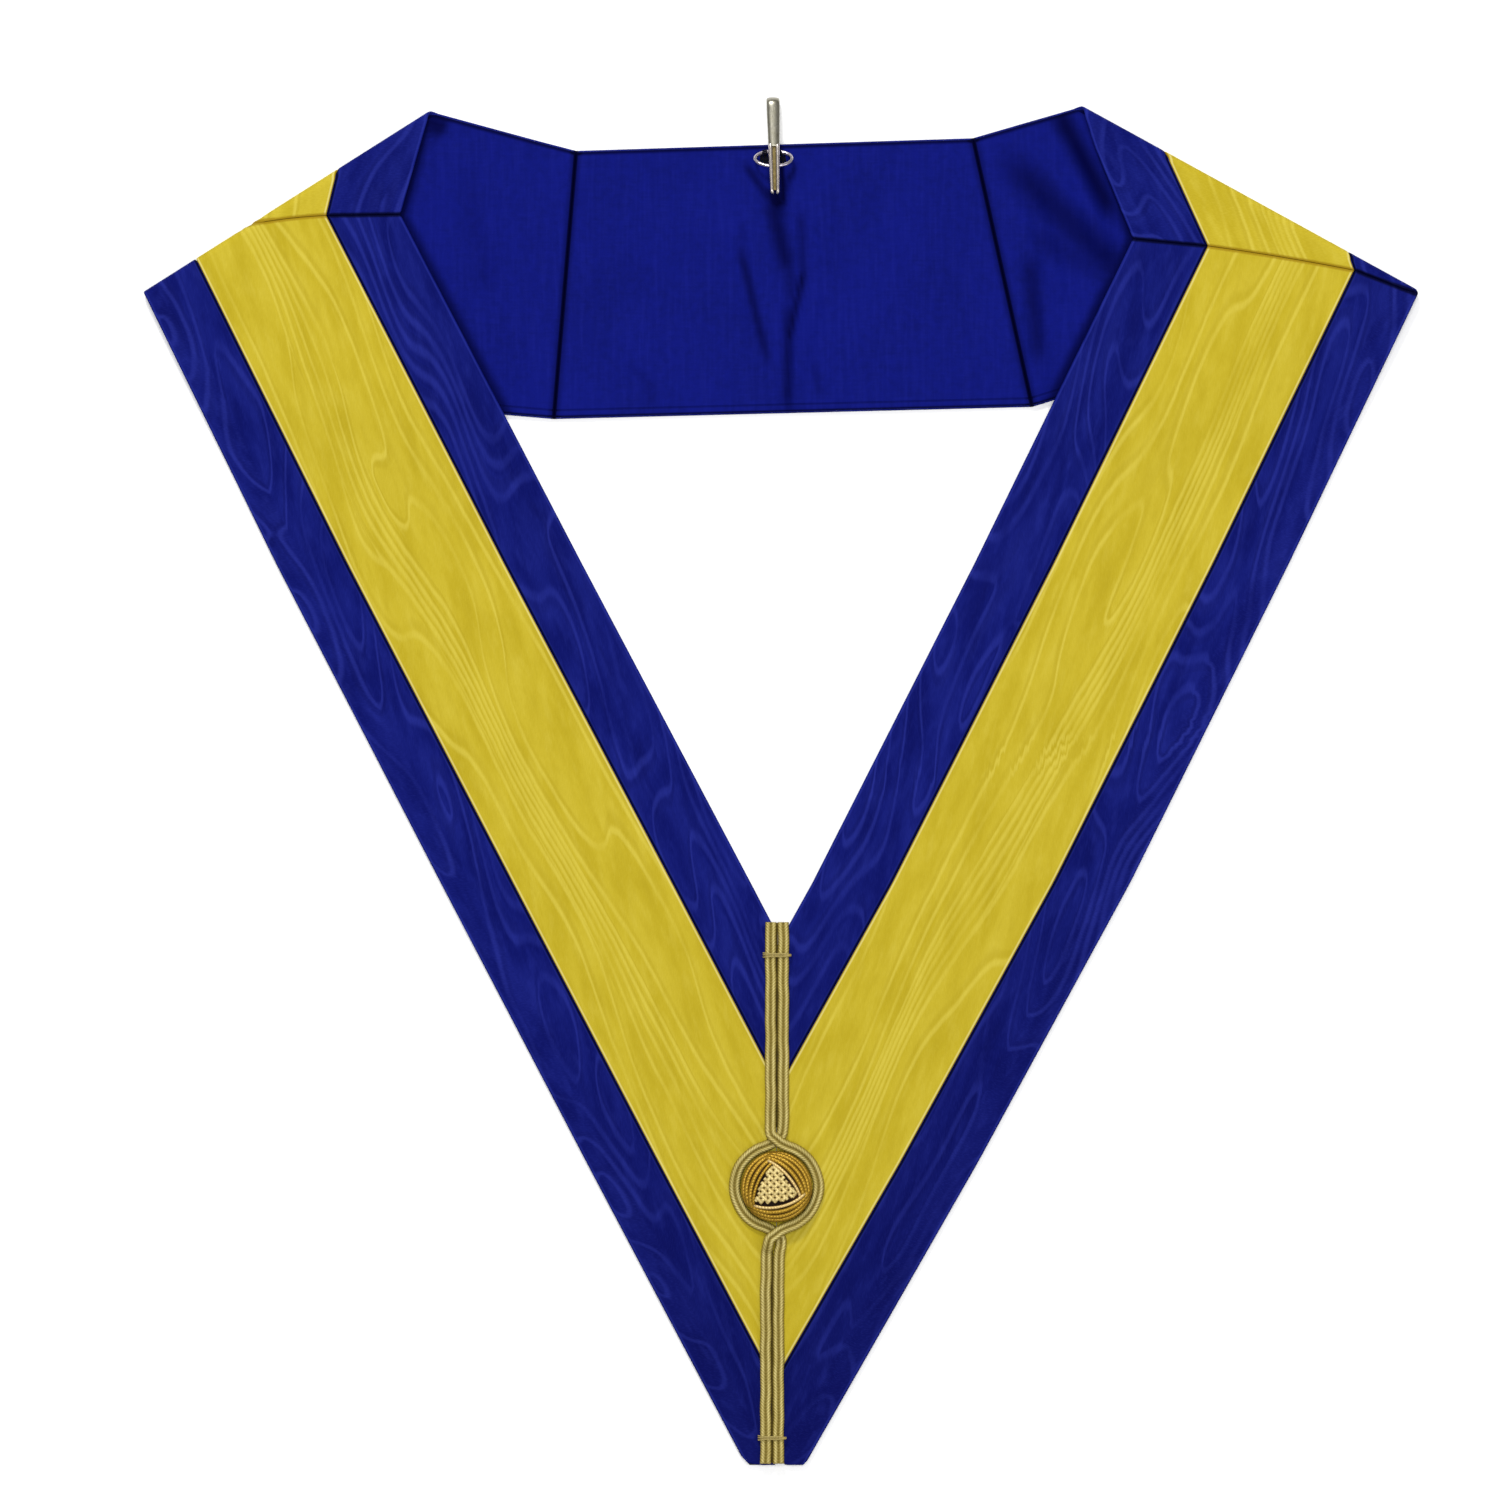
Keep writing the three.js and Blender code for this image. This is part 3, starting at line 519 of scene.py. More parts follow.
# The band that was crushed across the right leg: a point of its middle line, and its slope
CRUSHED_X, CRUSHED_Y, CRUSHED_SLOPE = 58.0, 4.0, 0.15
# The pitch of the ribbon's ribs and of the lining's threads, and the hem's place above its lower edge
RIB_PITCH, WARP_PITCH, WEFT_PITCH, HEM = 0.62, 0.55, 0.5, 3.2
# How far away the two levels are taken that give the slope of the water lines
SLOPE_STEP = 0.5


def water_level(finish, along, across, period, loops, reach_along):
    """The slow rise and fall whose contours are the water lines: one turn per period across, bent
    into long loops by noise, and crowded into a bundle along the ribbon's middle."""
    slow = finish.noise(along / reach_along, across / 21.0, 3.7, 0.0, 0.4)
    from_bundle = across - BUNDLE_AT + (slow - 0.5) * BUNDLE_STRAY
    bundle = (from_bundle / BUNDLE_WIDTH).lower(1.0).higher(-1.0)
    return across / period + slow * loops + bundle * BUNDLE_LINES


def watered_ribbon(name, base, light, dark, seam, *, period, loops, reach_along, strength, patches,
                   line, selvedge_highlight, deepened):
    """Watered faille: fine cross ribs under water lines. A line runs along each contour of
    water_level, at an even width: the distance to it is the level's remainder over its slope, which
    comes from two more levels a step away. Each light line has a dark neighbour. The cloth deepens
    and its lines fade towards the point and the right leg."""
    finish = Finish(name, roughness=0.5, specular=0.025, sheen=0.01, sheen_tint=light)
    along, across = finish.uv("weave")
    from_side, _from_end = finish.uv("rim")
    from_join, from_seam = finish.uv("join")
    x, y, _z = finish.place()
    from_crush = (y - CRUSHED_Y - (x - CRUSHED_X) * CRUSHED_SLOPE).size()
    crushed = from_crush.fall(2.0, 11.0) * x.step(8.0, 20.0)
    crumple = finish.noise(along / 3.2, across / 7.0, 14.0, 1.0)
    wobble = finish.noise(along / 9.0, across / 5.0, 9.1, 1.0)
    moved = across + (wobble - 0.5) * 0.6 + (crumple - 0.5) * crushed * 4.0
    level = water_level(finish, along, moved, period, loops, reach_along)
    aside = water_level(finish, along, moved + SLOPE_STEP, period, loops, reach_along)
    onward = water_level(finish, along + SLOPE_STEP, moved, period, loops, reach_along)
    rise_aside = (aside - level) / SLOPE_STEP
    rise_onward = (onward - level) / SLOPE_STEP
    slope = (rise_aside ** 2.0 + rise_onward ** 2.0) ** 0.5
    distance = (level - level.rounded()) / slope.higher(0.02)
    crest = distance.size().fall(line * 0.15, line)
    trough = (distance - line * 1.3).size().fall(line * 0.15, line * 1.2)
    patch = finish.noise(along / 48.0, across / 13.0, 21.0, 1.0).step(0.3, 0.6)
    away = (x * 0.0016 - y * 0.0040 - 0.1).held()
    amount = (patch * 0.7 + 0.3 + crushed * 0.3) * (1.0 - away * deepened * 0.7)
    swell = level.wave(1.0)
    cloud = finish.noise(along / 26.0, across / 10.0, 33.0, 3.0, 0.55)
    mottle = finish.noise(along / 11.0, across / 4.5, 41.0, 2.0, 0.55)
    ribs = along.wave(RIB_PITCH)
    grain = finish.noise(along / 0.5, across / 1.3, 5.0, 2.0, 0.6)
    # Painted highlight: a light line along the yellow's selvedges at its joins and along the blue's
    # edges. The seam colour darkens the seams, and along the joins it also paints the shadow that the
    # yellow's raised edge casts on the blue.
    if selvedge_highlight:
        sewn = from_join.fall(0.1, 0.4)
        edge = (selvedge_highlight, (from_join - 0.7).size().fall(0.1, 0.5) * 0.55)
    else:
        sewn = from_join.fall(0.35, 1.1)
        edge = (light, (from_side - 0.7).size().fall(0.1, 0.5) * 0.3)
    sewn = sewn.higher((from_seam + (grain - 0.5) * 0.7).fall(0.45, 1.35))
    finish.colour(
        dark,
        (base, cloud * 1.5 + 0.1 + swell * 0.1),
        (light, (cloud - 0.45) * 0.5 + swell * amount * 0.10),
        (dark, away * deepened),
        (light, (mottle - 0.52) * patches),
        (dark, (0.46 - mottle) * patches * 1.3),
        (light, crest * amount * strength),
        (dark, trough * amount * strength * 0.8),
        (dark, (grain - 0.5) * 0.7 + ribs * 0.06),
        (light, (0.5 - grain) * 0.5),
        edge,
        (seam, sewn * 0.9),
    )
    finish.rough(0.54 - crest * amount * 0.1 + grain * 0.08)
    relief = ribs * 0.12 + crest * amount * 0.3 - trough * amount * 0.2 + grain * 0.2 + cloud * 0.6
    finish.bump(relief + crumple * crushed * 0.6 - sewn * 0.8, 0.4, 0.0004)
    return finish.material


def plain_lining(name, base, light, dark, painted_shade):
    """Plain woven lining: fine crossing threads, faint slubs, dark turned-in edges, painted shade beside
    the darts, and a hem line above the lower one. Its shade map gives how deep the painted shade of the
    folds and of cast shadows lies, with a painted highlight on a fold's crown where it falls below
    nothing, and the way from the neck."""
    finish = Finish(name, roughness=0.62, specular=0.02, sheen=0.01, sheen_tint=light)
    x, y, _z = finish.place()
    from_side, from_end = finish.uv("rim")
    shade_depth, from_neck = finish.uv("painted_shade")
    slub = finish.noise(x / 9.0, y / 0.8, 1.0, 2.0, 0.6)
    upright = finish.noise(x / 1.6, y / 22.0, 7.0, 2.0, 0.6)
    cloud = finish.noise(x / 24.0, y / 38.0, 2.0, 3.0)
    mottle = finish.noise(x / 3.0, y / 3.0, 5.0, 2.0, 0.6)
    low_hem = (from_neck - (RIBBON - HEM)).size().fall(0.15, 0.6)
    rim = from_side.lower(from_end).fall(0.2, 1.1).higher(from_neck.fall(1.0, 2.4))
    finish.colour(
        dark,
        (base, cloud * 1.6 + mottle * 1.6 - 0.9),
        (light, (upright - 0.45) * 0.7 + (slub - 0.5) * 0.4),
        # Painted highlight on the folds' crowns, painted shade in their hollows and cast shadows, then
        # the dark edges and hem, with painted shade beside the darts
        (light, 0.0 - shade_depth),
        (painted_shade, shade_depth),
        (darker(painted_shade, 0.6), low_hem * 0.35 + rim * 0.85 + from_end.fall(0.5, 3.0) * 0.5),
    )
    finish.rough(0.6 + slub * 0.12)
    threads = x.wave(WARP_PITCH) * y.wave(WEFT_PITCH)
    relief = threads * 0.12 + slub * 0.2 + upright * 0.4 + cloud * 1.4 - low_hem * 0.7
    finish.bump(relief - shade_depth * 1.5, 0.45, 0.0005)
    return finish.material


def braided_gold(name, base, light, dark):
    """Flat gold braid: slanting threads over two ridges, mirrored at the groove between them, with a
    painted highlight along the ridges and painted shade in the groove and at the outer edges.
    """
    finish = Finish(name, roughness=0.5, specular=0.15, metallic=0.2)
    along, across = finish.uv("weave")
    aside = across.size()
    threads = (along + aside * 1.7).wave(1.15)
    grain = finish.noise(along / 0.5, across * 3.0, 4.0, 2.0, 0.6)
    patch = finish.noise(along / 9.0, across / 2.0, 8.0)
    ridge = 1.0 - ((aside - 0.5).size() / 0.36).held()
    # Painted highlight along the ridges, then painted shade in the groove and at the outer edges
    finish.colour(
        dark,
        (base, threads * 0.55 + grain * 0.7 + 0.05),
        (light, ridge * (threads * 0.6 + 0.5) * (patch * 1.3)),
        (darker(dark, 0.8), aside.fall(0.02, 0.26) * 0.4),
        (dark, aside.step(0.84, 1.0) * 0.4),
    )
    finish.bump(threads * 0.7 + grain * 0.4, 0.6, 0.0003)
    return finish.material


def wound_thread(name, base, light, dark, roughness=0.42, metallic=0.0, twist_step=1.1):
    """Twisted gilt thread: fine slanting strands along each winding, with a painted highlight on its
    crown and painted shade down its sides, where it sinks between its neighbours. The lift map paints
    shade on it where it dips."""
    finish = Finish(name, roughness=roughness, specular=0.15, metallic=metallic)
    along, around = finish.uv("weave")
    lift, _spare = finish.uv("lift")
    crown = (around * TURN).sine()
    twist = (along / twist_step + around).wave(1.0)
    grain = finish.noise(along / 1.5, around * 3.0, 3.0, 2.0, 0.6)
    # Painted highlight on the crown, painted shade down the sides and where the thread dips
    finish.colour(
        dark,
        (base, crown * 1.3 - 0.25 + (grain - 0.5) * 0.6 + twist * 0.15),
        (light, (crown - 0.45) * (grain * 1.6 + twist * 0.4)),
        (dark, 1.0 - lift),
    )
    finish.bump(twist + grain * 0.5, 0.5, 0.0002)
    return finish.material


def plated_metal(name, base, tarnish, roughness, spread):
    """Plated metal with faint handling marks and dull patches."""
    finish = Finish(name, roughness=roughness, metallic=1.0, specular=0.5)
    x, y, z = finish.place()
    patch = finish.noise(x / spread, y / spread, z / spread, 3.0, 0.6)
    fine = finish.noise(x * 2.4, y * 0.5, z * 2.4, 2.0, 0.6)
    finish.colour(base, (tarnish, (patch - 0.4) * 1.8))
    finish.rough(roughness + (fine - 0.5) * 0.18 + (patch - 0.5) * 0.15)
    finish.bump(fine * 0.4 + patch, 0.05, 0.0002)
    return finish.material


# Each ribbon's fourth colour darkens its seams and, along the blue's joins, paints shadow; the yellow's
# selvedge colour is a painted highlight
BLUE = watered_ribbon(
    "blue watered ribbon", (0.0030, 0.0062, 0.130), (0.0250, 0.0370, 0.33), (0.0012, 0.0022, 0.066),
    (0.0003, 0.0005, 0.010), period=16.0, loops=8.5, reach_along=62.0, strength=0.30, patches=0.7,
    line=1.3, selvedge_highlight=None, deepened=0.75)
YELLOW = watered_ribbon(
    "yellow watered ribbon", (0.505, 0.392, 0.021), (0.680, 0.570, 0.085), (0.385, 0.285, 0.010),
    (0.32, 0.20, 0.008), period=8.5, loops=4.2, reach_along=92.0, strength=0.42, patches=0.9,
    line=1.0, selvedge_highlight=(0.75, 0.66, 0.26), deepened=0.12)
# The lining's fourth colour is its painted shade
LINING = plain_lining(
    "blue lining", (0.0040, 0.0075, 0.166), (0.0105, 0.0158, 0.25), (0.0030, 0.0058, 0.118),
    (0.0001, 0.0004, 0.030))
BRAID = braided_gold("gold braid", (0.40, 0.31, 0.075), (0.72, 0.62, 0.26), (0.21, 0.15, 0.022))
AMBER = wound_thread(
    "amber wound thread", (0.34, 0.19, 0.012), (0.52, 0.32, 0.040), (0.10, 0.040, 0.003), 0.36, 0.45)
PALE = wound_thread(
    "pale wound thread", (0.62, 0.42, 0.14), (0.82, 0.62, 0.27), (0.20, 0.10, 0.02), 0.36, 0.35)
WOVEN = wound_thread(
    "pale woven thread", (0.56, 0.42, 0.14), (0.90, 0.74, 0.35), (0.26, 0.16, 0.03), 0.4, 0.2)
TACKING = wound_thread("tacking thread", (0.50, 0.40, 0.14), (0.70, 0.61, 0.29), (0.30, 0.22, 0.05))
JOINING = wound_thread(
    "joining thread", (0.13, 0.088, 0.008), (0.26, 0.19, 0.03), (0.03, 0.018, 0.002), 0.7)
UMBER = wound_thread(
    "button core", (0.03, 0.010, 0.002), (0.05, 0.02, 0.005), (0.010, 0.003, 0.001), 0.8)
# The stitching is near-black, so that it also paints the shade inside the ring
STITCHING_AND_SHADE = wound_thread(
    "near-black stitching with painted shade", (0.003, 0.003, 0.016), (0.008, 0.009, 0.05), (0.001, 0.001, 0.003), 0.8)
NICKEL = plated_metal("bright nickel", (0.70, 0.64, 0.70), (0.22, 0.18, 0.22), 0.22, 1.6)
OLD_BRASS = plated_metal("dull nickelled brass", (0.34, 0.325, 0.265), (0.17, 0.16, 0.105), 0.3, 3.0)
RAIL_METAL = plated_metal("worn nickel rails", (0.66, 0.60, 0.56), (0.36, 0.30, 0.24), 0.26, 2.0)
# The groove's brass is darkened to paint the shade between the hook's rails; its patches are wear
SHADED_GROOVE_BRASS = plated_metal("worn brass groove with painted shade", (0.15, 0.115, 0.045), (0.06, 0.045, 0.015), 0.5, 1.5)

# The cloth

HALF_GAP = SEWING_GAP / 2 / RIBBON


def strips_of(strip_joins):
    """The three strips of the ribbon: their spans, finishes and slots."""
    first, second = strip_joins
    return {
        "outer_border": ((0.0, first - HALF_GAP), BLUE, "blue_ribbon"),
        "yellow_band": ((first + HALF_GAP, second - HALF_GAP), YELLOW, "yellow_ribbon"),
        "inner_border": ((second + HALF_GAP, 1.0), BLUE, "blue_ribbon"),
    }


INSET = LINING_INSET / RIBBON
LINING_SPAN = (INSET, 1 - INSET)

NECK_UP = dart_lying(SIDES["left"], 1.0, 0.0)[1]
BACK_HIGH = NECK_UP - dart_lying(SIDES["left"], 0.0, 0.0)[1]


def along_streak(points, top_across, top_down, foot_across, foot_down):
    """How far points lie down a streak and beside it, and its length. Its ends are given across in
    halves of the collar's width, and down from the neck in heights of the back."""
    top = np.array([top_across * HALF, NECK_UP - top_down * BACK_HIGH])
    run = np.array([foot_across * HALF, NECK_UP - foot_down * BACK_HIGH]) - top
    length = np.linalg.norm(run)
    run = run / length
    return (points - top) @ run, np.abs((points - top) @ np.array([run[1], -run[0]])), length


def crease_rise(points, creases, width, height):
    """Each crease is a soft ridge: a smooth step down from its line over width, faded at both ends."""
    rise = np.zeros(points.shape[:-1])
    for *place, share in creases:
        along, beside, length = along_streak(points, *place)
        ends = smooth(along / width) * smooth((length - along) / width)
        rise += share * height * ends * smooth(1 - beside / width)
    return rise


# The back's creases
CREASES = (
    # top across, top down, foot across, foot down, rise
    (-0.075, 0.26, -0.035, 0.7, 0.8),
    (-0.02, 0.2, 0.02, 0.6, 0.6),
    (0.062, 0.2, 0.075, 0.45, 0.7),
    (0.055, 0.5, 0.012, 0.98, 1.0),
    (0.078, 0.78, 0.1, 0.98, 0.6),
)
# How high the back swells and a ribbon's inner edge lifts
SWELL, EDGE_LIFT = 0.12, 0.9


def back_softness(_side, _flat, points, _shares):
    """The lining's creases and a very low swell over the back."""
    x, y = points[..., 0], points[..., 1]
    swell = SWELL * (np.sin(x / 17.0 + 0.6 * np.sin(y / 21.0)) - 1)
    return crease_rise(points, CREASES, width=5.5, height=1.3) + swell


def edge_lift(side, flat, _points, shares):
    """A leg's or shoulder's upper side lifts a little along its inner edge, as stiff ribbon does."""
    from_fold = smooth(reach(fold_axis(side), flat) / 14.0)
    over_back = smooth((30.0 - reach(lower_edge(side), flat)) / 40.0)
    return EDGE_LIFT * from_fold * over_back * smooth((shares - 0.86) / 0.14)


def inner_edge(side, heights):
    """How far out the inner edge of the leg, and above the seam that of the shoulder, lies."""
    knots = np.array([0.3, 0.6, side["seam"][3]])
    edge = leg_point(side, np.ones(3), knots)[:, 0] * side["sign"]
    fold_end = side["fold"][1]
    return np.interp(heights, [*knots, fold_end[1]], [*edge, fold_end[0] * HALF])


def bare_lining(side, points):
    """How far beyond the inner edge of the leg or shoulder on top of it the lining lies."""
    return inner_edge(side, points[..., 1] / LENGTH) - points[..., 0] * side["sign"]


# The soft folds of the shoulders' linings, with the columns of CREASES
SHOULDER_CREASES = {
    "left": (
        (-0.44, 0.1, -0.47, 0.5, 0.5),
        (-0.40, 0.4, -0.425, 0.9, 0.4),
    ),
    "right": (
        (0.442, -0.06, 0.512, 0.42, 1.1),
        (0.385, 0.13, 0.44, 0.58, 1.0),
        (0.389, 0.5, 0.410, 0.97, 1.1),
    ),
}


def lining_folds(side, flat, points, shares):
    """Soft folds of a shoulder's lining where nothing lies on it, faded out near the leg."""
    folds = SHOULDER_CREASES["left" if side["sign"] < 0 else "right"]
    rise = crease_rise(points, folds, width=6.5, height=1.5)
    rise *= smooth((bare_lining(side, points) - 1.5) / 7.0)
    under = reach(fold_axis(side), flat) < -FOLD_ARC
    return np.where(under, rise, 0) + edge_lift(side, flat, points, shares)


# The painted shade on the lining: soft dark streaks for the hollows of its folds, the corners where
# the shoulders turn under and the shadow that the hook casts below the neck; from top to foot as in
# CREASES, then how wide and how deep. A depth below nothing paints a highlight on a fold's crown.
PAINTED_SHADE_STREAKS = (
    # top across, top down, foot across, foot down, width, depth
    (-0.055, 0.06, -0.013, 0.205, 2.8, 0.7),
    (0.019, 0.06, -0.003, 0.2, 2.8, 0.65),
    (-0.002, 0.05, 0.003, 0.20, 2.4, 1.0),
    (-0.018, 0.07, -0.014, 0.18, 1.8, 0.75),
    (-0.015, 0.142, -0.006, 0.212, 5.6, 1.15),
    (-0.017, 0.19, 0.009, 0.44, 5.6, 0.8),
    (0.006, 0.35, 0.017, 0.56, 4.5, 0.55),
    (0.03, 0.24, 0.033, 0.485, 3.2, 0.5),
    (0.034, 0.45, 0.009, 0.72, 2.8, 0.95),
    (0.010, 0.60, 0.009, 0.95, 3.6, 0.72),
    (-0.064, 0.38, -0.025, 0.765, 3.0, 0.7),
    (-0.063, 0.27, -0.061, 0.42, 2.8, 0.25),
    (0.05, 0.8, 0.061, 0.9, 2.6, 0.28),
    (-0.24, 0.8, -0.21, 0.86, 3.0, 0.22),
    (-0.21, 0.86, -0.207, 0.94, 2.6, 0.28),
    (0.022, 0.5, 0.034, 0.86, 3.6, -0.14),
    (-0.042, 0.36, -0.006, 0.7, 3.6, -0.12),
    (0.433, -0.15, 0.518, 0.23, 7.0, 0.92),
    (0.365, 0.06, 0.56, 0.52, 11.0, 0.7),
    (0.40, 0.32, 0.50, 0.44, 9.0, 0.4),
    (0.390, 0.42, 0.404, 0.76, 6.0, 0.62),
    (0.345, -0.02, 0.37, 0.1, 5.0, 0.2),
    (0.405, -0.02, 0.47, 0.2, 4.5, -0.14),
    (0.43, 0.5, 0.42, 0.8, 5.0, -0.12),
    (-0.575, -0.13, -0.53, -0.08, 8.0, 0.9),
    (-0.5, 0.1, -0.46, 0.5, 7.0, 0.16),
)


def painted_lining_shade(side, _flat, points):
    """Painted shade: each streak is soft, faded at its ends and sides, and beside a leg's inner edge
    a narrow painted shadow falls on the lining."""
    shade_depth = np.zeros(points.shape[:-1])
    for *place, width, deep in PAINTED_SHADE_STREAKS:
        along, beside, length = along_streak(points, *place)
        ends = smooth(along / length * 3 + 0.6) * smooth((1 - along / length) * 3 + 0.6)
        streak = deep * ends * smooth(1 - beside / width)
        shade_depth = np.maximum(shade_depth, streak) if deep > 0 else shade_depth + streak
    if side is not None:
        shade_depth = np.maximum(shade_depth, 0.85 * smooth(1 - np.abs(bare_lining(side, points)) / 5.0))
    return shade_depth


FOLD_ROWS = 12

for side_name, side in SIDES.items():
    seed = 0.0 if side_name == "left" else 1.7
    for strip_name, (span, material, slot) in strips_of(side["strip_joins"]).items():
        cloth(f"leg_{side_name}_{strip_name}", leg_rail, side, span, RIBBON_MIDDLE, material, slot,
              fold_rows=FOLD_ROWS, seed=seed, soft=edge_lift, sewn_start=False)
        cloth(f"shoulder_{side_name}_{strip_name}", shoulder_rail, side, span, RIBBON_MIDDLE, material,
              slot, fold_rows=FOLD_ROWS, seed=seed + 3.1, soft=edge_lift)
    cloth(f"leg_{side_name}_lining", leg_rail, side, LINING_SPAN, LINING_MIDDLE, LINING,
          fold_rows=FOLD_ROWS, soft=edge_lift, shade=painted_lining_shade)
    cloth(f"shoulder_{side_name}_lining", shoulder_rail, side, LINING_SPAN, LINING_MIDDLE, LINING,
          fold_rows=FOLD_ROWS, step=2.0, soft=lining_folds, shade=painted_lining_shade)

for strip_name, (span, material, slot) in strips_of(JOINS[1:3]).items():
    cloth(f"back_{strip_name}", back_rail, None, span, RIBBON_MIDDLE, material, slot,
          place=place_back, seed=8.0)
cloth("back_lining", back_rail, None, LINING_SPAN, LINING_MIDDLE, LINING,
      place=place_back, step=1.6, soft=back_softness, shade=painted_lining_shade)

# Tubes and braids


def resampled(rows, step):
    """A smooth line through rows of numbers: Catmull-Rom between them, then evenly spaced."""
    rows = np.asarray(rows, float)
    padded = np.concatenate([2 * rows[:1] - rows[1:2], rows, 2 * rows[-1:] - rows[-2:-1]])
    t = np.linspace(0, 1, 24, endpoint=False)[None, :, None]
    a, b, c, d = (padded[i:len(padded) - 3 + i][:, None] for i in range(4))
    curve = 0.5 * (2 * b + (c - a) * t + (2 * a - 5 * b + 4 * c - d) * t**2
                   + (3 * b - a - 3 * c + d) * t**3)
    line = np.concatenate([curve.reshape(-1, rows.shape[1]), rows[-1:]])
    lengths = np.concatenate([[0], np.cumsum(np.linalg.norm(np.diff(line[:, :3], axis=0), axis=1))])
    at = np.linspace(0, lengths[-1], max(2, int(lengths[-1] / step) + 1))
    return np.stack([np.interp(at, lengths, line[:, k]) for k in range(rows.shape[1])], 1), at


def unit(rows):
    """Vectors of length 1 along the given ones."""
    return rows / np.linalg.norm(rows, axis=-1, keepdims=True)


def circle(count):
    """Points once round a circle of radius 1."""
    angle = np.linspace(0, TURN, count, endpoint=False)
    return np.stack([np.cos(angle), np.sin(angle)], 1)


def frames_of(line, guide=None):
    """Across and up directions along a line: across is the run crossed with a guide axis, and up is
    across crossed with the run. Without a guide it is the axis that the line strays least along,
    which for a thread that lies on something is the upright one."""
    run = unit(np.gradient(line, axis=0))
    if guide is None:
        guide = np.eye(3)[np.abs(run).max(axis=0).argmin()]
    across = unit(np.cross(run, guide))
    return across, np.cross(across, run)


def carried(line, across, rise, section):
    """Rings of points: at each point of the line, the section's two numbers across and up."""
    return line[:, None] + across[:, None] * section[..., :1] + rise[:, None] * section[..., 1:]


def capped(points, weave, ends, end_at=(0, 0)):
    """A shell from rings of points, with a fan of faces about the middle point of each end."""
    rings, count = points.shape[:2]
    faces = grid_quads(rings, count, ring=True).tolist()
    tip, last = rings * count, (rings - 1) * count
    faces += [[tip, (j + 1) % count, j] for j in range(count)]
    faces += [[tip + 1, last + j, last + (j + 1) % count] for j in range(count)]
    end_weave = [[end_at[0], 0], [end_at[1], 0]]
    return (np.concatenate([points.reshape(-1, 3), ends]), faces,
            np.concatenate([weave.reshape(-1, 2), end_weave]))


def swept(line, at, section):
    """Carries a closed section along a line, kept upright, with its share of the width in its map."""
    points = carried(line, *frames_of(line, (0, 0, 1)), section)
    share = section[:, 0] / np.abs(section[:, 0]).max()
    weave = np.stack(np.broadcast_arrays(at[:, None], share), -1)
    return capped(points, weave, points[[0, -1]].mean(1), at[[0, -1]])


def tube(line, at, radius, count=8):
    """A round thread along a line, with its share of the way round in its map."""
    points = carried(line, *frames_of(line), radius * circle(count))
    weave = np.stack(np.broadcast_arrays(at[:, None], np.arange(count) / count), -1)
    return capped(points, weave, line[[0, -1]], at[[0, -1]])


def piece_of(name, parts, node, slot, material, lifts=None):
    """One object from shells of points, faces and map values; lifts are one number for each point."""
    start, faces = 0, []
    for shell_points, shell_faces, _weave in parts:
        faces += [[index + start for index in face] for face in shell_faces]
        start += len(shell_points)
    raised = np.ones(start) if lifts is None else np.concatenate(lifts)
    maps = {"weave": np.concatenate([part[2] for part in parts]), "lift": np.stack([raised, raised], -1)}
    mesh_piece(name, np.concatenate([part[0] for part in parts]), faces, maps, material, slot, node)


# The groove's floor is a share of the braid's thickness
BRAID_WIDTH, BRAID_THICK, BRAID_GROOVE = 4.1, 1.8, 0.46
BUTTON_RADIUS, BUTTON_HEIGHT, TRIM_GAP = 12.7, 9.5, 0.6
# How far the braids' middle lines lie from the button's middle and from each other
RING_RADIUS = BUTTON_RADIUS + TRIM_GAP + BRAID_WIDTH / 2
PITCH = BRAID_WIDTH + TRIM_GAP

braid_low, braid_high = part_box("braid_left")
BRAID_TOP = braid_high[1] / MM - SHIFT[1]
BRAID_FOOT = braid_low[1] / MM - SHIFT[1]
# How far the pair strays aside above and below the button
ASIDE_ABOVE, ASIDE_BELOW = 0.2, -1.6

# Beside each crossing: aside as a share of the pitch, away as a share of the ring's radius, lift
CROSSING = (
    (-0.5, 1.62, 0.0), (-0.5, 1.47, 0.45), (-0.47, 1.34, 0.95),
    (-0.38, 1.235, 1.0), (0.0, 1.135, 1.0), (0.3, 1.05, 1.0),
)


